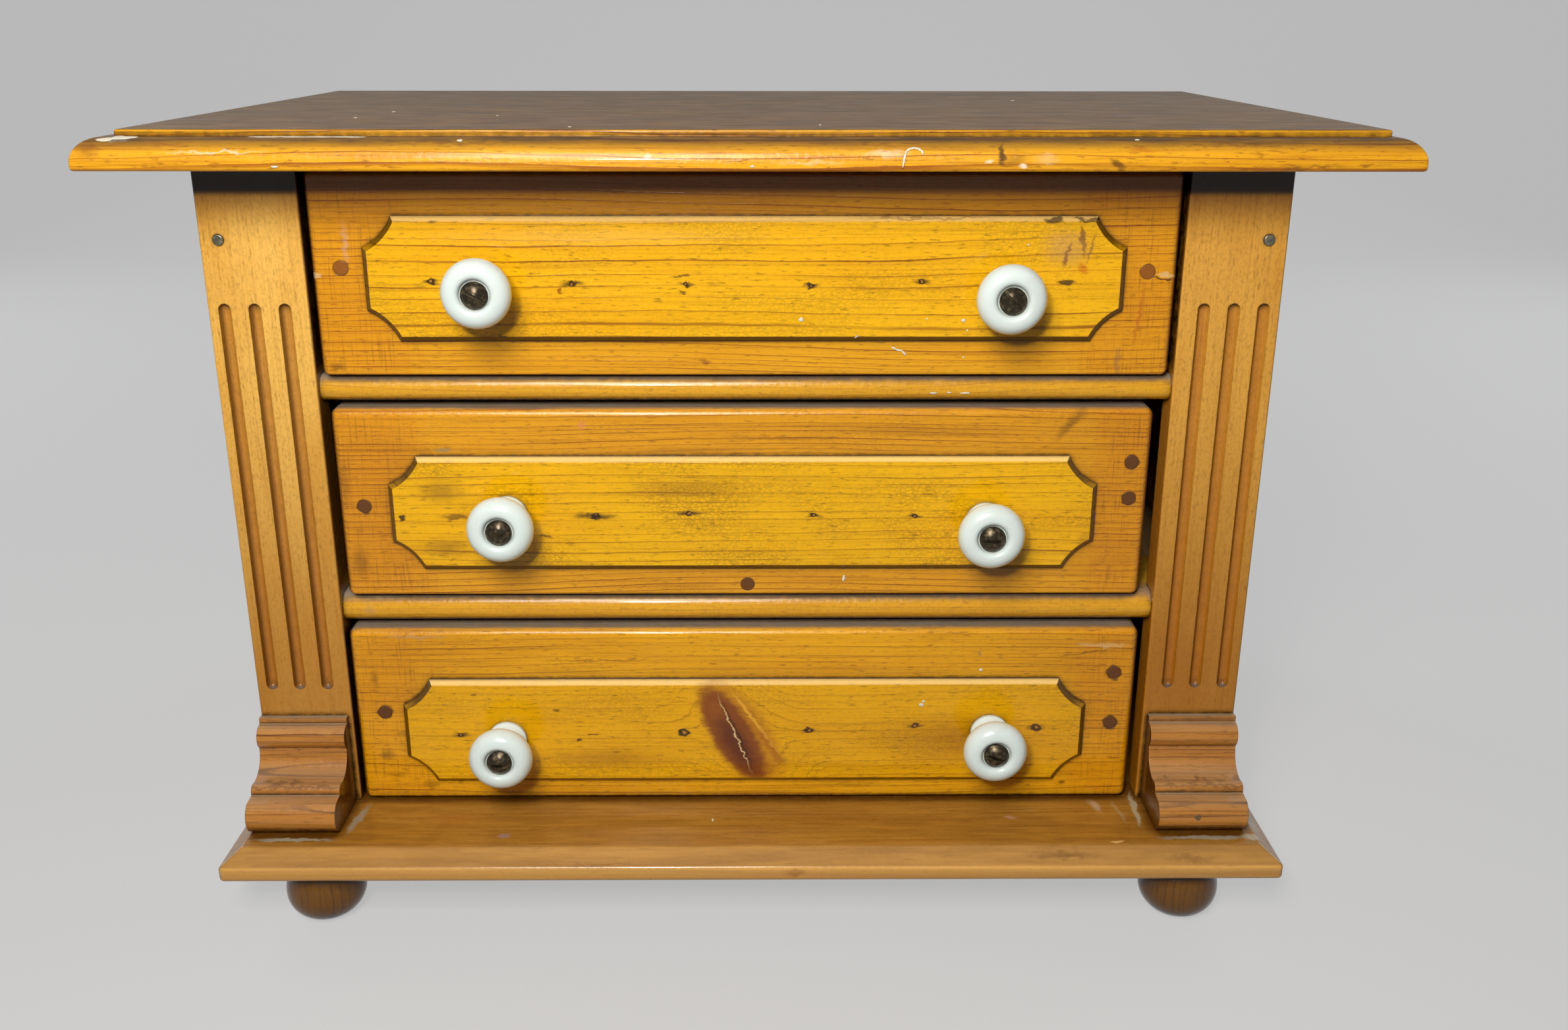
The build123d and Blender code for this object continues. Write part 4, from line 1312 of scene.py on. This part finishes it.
def read_levels() -> Levels:
    """Read the faces' places from the frame.

    Returns:
        The levels.
    """
    base_low, base_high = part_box("base_board")
    return Levels(face=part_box("pilaster_left")[0].y / MM, plaque=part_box("top_plaque")[0].y / MM,
                  eaves=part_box("top_board")[0].z / MM, nose=base_low.y / MM, plinth=base_high.z / MM)


def plaque_highlight_and_shade(name: str, levels: Levels) -> tuple:
    """Give a plaque's painted highlight along its upper arris, and the dirt and painted shade where it meets
    the front.

    Args:
        name: the drawer's name.
        levels: where the faces lie.

    Returns:
        The bands.
    """
    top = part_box(f"{name}_plaque")[1].z / MM
    # A painted highlight on the upper arris; dirt and painted shade on the bevels next to the front.
    return (Band("Z", top - 2.0, top - 1.4, "#FFE29C", 0.6),
            Band("Y", levels.plaque + 1.0, levels.face - 0.6, "#2A180A", 0.85))


def make_drawers(levels: Levels) -> tuple:
    """Choose the drawers' finishes.

    Args:
        levels: where the faces lie.

    Returns:
        The three drawers, from the top down.
    """
    top_front, top_plaque = top_drawer_marks()
    middle_front, middle_plaque = middle_drawer_marks()
    bottom_front, bottom_plaque = bottom_drawer_marks()
    # The top drawer's front gets a painted shadow where the top board overhangs it.
    overhang_shadow = (levels.overhang_shade(),
              Band("Z", levels.eaves - 12.4, levels.eaves - 8.9, "#4A2A10", 0.6))
    # The plaques' bevels are dark at the ends, where they drank stain, and below with painted shade, where
    # they catch no light.
    panel = {"end_reach": (0.12, 0.45), "under": 0.85, "dust": 0.0, "ledge": 0.25, "blotch": 0.55,
             "mottle": 0.1, "dirt": 0.5}
    # The pegs show their end grain, as plain brown discs.
    peg = {"ring": 1.2, "grime_and_shade": 0.3}
    # Inside, the pine was never varnished: pale, dry and matt.
    box = Pine("bare_pine_box", "#D9B98A", "#B98F58", "#A5814F", Grain.INWARDS, amber="#CBA676", ring=4.2,
               line=0.4, blotch=0.2, dirt=0.12, gloss=0.6, coat=0.0, wear=0.2, grime_and_shade=0.5, seed=51.0)
    return (
        Drawer(
            "top",
            # Honey-brown varnish over tight growth lines, with redder ends scratched upright.
            Pine("top_front_pine", "#E8A81C", "#965010", "#6B3A10", Grain.SIDEWAYS, amber="#DA930C",
                 ring=2.3, line=0.9, streak=0.5, dirt=0.5, seed=1.0, ends=(-127.0, 121.0, 0.7),
                 bands=overhang_shadow, marks=top_front),
            # Clear yellow, with a thin dark line every 4 mm: the brightest board of all.
            Pine("top_plaque_pine", "#F4BA12", "#8F5206", "#2E1806", Grain.SIDEWAYS, amber="#F0AC04",
                 ring=4.3, line=0.75, crackle=0.2, seed=2.0, bands=plaque_highlight_and_shade("top", levels),
                 marks=top_plaque, **panel),
            box,
            Pine("top_peg_pine", "#9A5E20", "#6A3C10", "#8E5418", Grain.INWARDS, seed=3.0, **peg)),
        Drawer(
            "middle",
            # Browner than the top one, and a little crazed.
            Pine("middle_front_pine", "#E4A21C", "#8A4C0E", "#704016", Grain.SIDEWAYS, amber="#CE8A12",
                 ring=2.2, line=0.9, streak=0.5, crackle=0.14, dirt=0.5, seed=7.0,
                 ends=(-127.0, 131.0, 0.8), marks=middle_front),
            # Yellow, clouded with brown round the knobs and crazed all over.
            Pine("middle_plaque_pine", "#F2B808", "#8A5006", "#2E1806", Grain.SIDEWAYS, amber="#E4A002",
                 ring=3.4, line=0.6, crackle=0.3, seed=8.0, bands=plaque_highlight_and_shade("middle", levels),
                 marks=middle_plaque, **panel),
            box,
            Pine("middle_peg_pine", "#6A4016", "#40240C", "#5E3812", Grain.INWARDS, seed=4.0, **peg)),
        Drawer(
            "bottom",
            # Even golden brown with faint lines, smudged by hands at the corners.
            Pine("bottom_front_pine", "#EAAA12", "#8A500C", "#6A3E12", Grain.SIDEWAYS, amber="#CC860A",
                 ring=2.8, line=0.6, streak=0.5, crackle=0.1, dirt=0.55, seed=15.0,
                 ends=(-133.0, 128.0, 0.7), marks=bottom_front),
            # Deep yellow and almost plain, so that the eye goes to its big red-brown knot.
            Pine("bottom_plaque_pine", "#E8AC06", "#8E5806", "#2E1806", Grain.SIDEWAYS, amber="#DC9C02",
                 ring=3.8, line=0.35, crackle=0.18, seed=16.0, bands=plaque_highlight_and_shade("bottom", levels),
                 marks=bottom_plaque, **panel),
            box,
            Pine("bottom_peg_pine", "#663C10", "#40240A", "#5C340C", Grain.INWARDS, seed=5.0, **peg)),
    )


def make_case(levels: Levels) -> Case:
    """Choose the case's finishes.

    Args:
        levels: where the faces lie.

    Returns:
        The case.
    """
    # The flutes are a deeper orange than the posts; under the top board the posts get a painted shadow,
    # nearly black close under it.
    flutes_and_overhang_shadow = (Band("Y", levels.face + 0.3, levels.face + 1.4, "#BE700E", 0.5),
               levels.overhang_shade(),
               # painted shadow of the top board on the posts
               Band("Z", levels.eaves - 12.4, levels.eaves - 9.4, "#080200", 0.95))
    post = {"ring": 5.5, "line": 0.2, "mottle": 0.25, "blotch": 0.8, "streak": 0.3, "seed": 37.0,
            "pith": (-400.0, 260.0), "wander": 5.0, "nook": 3.0, "grime_and_shade": 1.0, "lee": 0.7}
    shade_from, shade_full = 240.0, 80.0  # mm up, between which the posts are painted darker and browner towards the bottom, as painted shade
    # Dirt and painted shade lie in the three steps of the corbels' profile.
    groove_dirt_and_shade = tuple(Mark((0.0, 0.0, levels.plinth + rise), (ANY, ANY, 1.3), "#2A1608", 0.4, 0.0, 0.95)
                    for rise in (0.4, 16.6, 27.2))
    return Case({
        # Golden and streaky on its moulded edge, under a dull brown film of wax and dust on top.
        Pine("top_board_pine", "#EDAC1E", "#A45E14", "#8E5616", Grain.FLAT, amber="#E09810", ring=4.2,
             line=0.9, streak=0.7, dirt=0.7, seed=21.0, dust=0.9, ledge=0.2, film="#3A3028", coat=0.2,
             gloss=0.3, marks=top_board_marks()):
            ("top_board",),
        # Brown and glossy, with a painted highlight along the nosing, and the nose darker lower down.
        Pine("base_board_pine", "#E8AC48", "#8E5614", "#5E3512", Grain.FLAT, amber="#D0902C", ring=4.0,
             line=0.45, seed=25.0, dust=0.66, ledge=0.3, film="#5E3602", coat=0.6, gloss=0.24,
             # A painted highlight on the nosing, and the front darker lower down.
             bands=(Band("Y", levels.nose + 11.8, levels.nose + 4.8, "#E6B468", 0.5),
                    Band("Z", levels.plinth - 4.4, levels.plinth - 9.4, "#A87430", 0.6)),
             crust=base_board_marks()):
            ("base_board",),
        # Plain upright boards under the same varnish.
        Pine("case_side_pine", "#D09430", "#8E5214", "#6B3F15", Grain.UPRIGHT, amber="#B87C34", ring=4.4,
             seed=29.0, pith=(-20.0, 160.0)):
            ("side_left", "side_right"),
        # Bare, greyed and matt.
        Pine("back_panel_pine", "#C7A06B", "#936436", "#7A5327", Grain.UPRIGHT, amber="#B98F5A", ring=5.0,
             seed=33.0, gloss=0.6, coat=0.0):
            ("back_panel",),
        # Pale, finely speckled and almost without lines; the left one is painted lighter than the right one,
        # as lit and shaded copies of one wood.
        Pine("left_pilaster_pine", "#F2BE5C", "#A46A22", "#4E2C0C", Grain.UPRIGHT, amber="#DCA03C",
             bands=(Band("Z", shade_from, shade_full, "#9C5C00", 0.68),) + flutes_and_overhang_shadow, **post):
            ("pilaster_left",),
        # The right post: the shaded copy, painted darker.
        Pine("right_pilaster_pine", "#E2A846", "#9A6220", "#4E2C0C", Grain.UPRIGHT, amber="#CC8E30",
             bands=(Band("Z", shade_from, shade_full, "#965800", 0.7),) + flutes_and_overhang_shadow, **post):
            ("pilaster_right",),
        # Darker, redder blocks, with dust on the ledges and shine on the rolls.
        Pine("corbel_pine", "#C08236", "#6A3C14", "#452507", Grain.SIDEWAYS, amber="#A0621E", ring=2.8,
             line=0.8, streak=0.7, seed=41.0, dust=0.3, ledge=0.7, film="#A2967F", wear=0.6, coat=0.6,
             gloss=0.24, crust=groove_dirt_and_shade + (
                 Mark((-171.7, -118.0, 70.0), (12.0, 30.0, 7.0), "#D2A24A", 0.6, 0.0, 0.9),
                 Mark((174.1, -130.0, 43.3), (2.4, 6.0, 2.4), "#5A4A34", 0.9, 0.0, 0.4),)):
            ("corbel_left", "corbel_right"),
        # Golden half-rounds with a bright line of light, worn through at one end.
        Pine("rail_pine", "#E8AC28", "#A8651A", "#7A4A18", Grain.SIDEWAYS, amber="#D89A18", ring=3.0,
             line=0.4, mottle=0.2, seed=45.0, coat=0.4, marks=(
                 Mark((-144.0, -99.0, 124.5), (20.0, 12.0, 4.0), "#F2E0B8", 0.75, 0.0, 0.8),
                 Mark((-152.0, -99.0, 119.0), (8.0, 12.0, 8.0), "#C9975A", 0.5, 0.0, 0.9),)):
            ("rail_lower", "rail_upper"),
        # Bare strips, polished by nothing but the drawers.
        Pine("runner_pine", "#CBA671", "#A47B45", "#8A6738", Grain.INWARDS, amber="#BE9860", ring=4.0,
             seed=55.0, gloss=0.65, coat=0.0): (
                 "runner_lower_left", "runner_lower_right", "runner_upper_left", "runner_upper_right",
                 "drawer_guides_left", "drawer_guides_right", "drawer_stops"),
        # Dark walnut-brown stain with a deep gloss, over the faint upright lines of a turned foot.
        Pine("foot_pine", "#6E4608", "#442804", "#3A2204", Grain.TURNED, amber="#5C3A08", ring=2.6,
             seed=61.0, pith=(0.0, 0.0), coat=0.5, gloss=0.28):
            ("foot_front_left", "foot_front_right", "foot_rear_left", "foot_rear_right"),
    })


def main() -> None:
    """Dress the frame, piece by piece, and set it in the studio."""
    logging.basicConfig(level=logging.INFO, format="%(message)s")
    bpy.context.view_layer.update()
    levels = read_levels()
    steel = BronzedSteel().material()
    porcelain = Porcelain().material()
    for drawer in make_drawers(levels):
        drawer.build(porcelain, steel)
    make_case(levels).build(steel)
    paint = DrippedPaint().material()
    for splash in splashes():
        splash.build(paint)
    Studio().build()


if __name__ == "__main__":
    main()
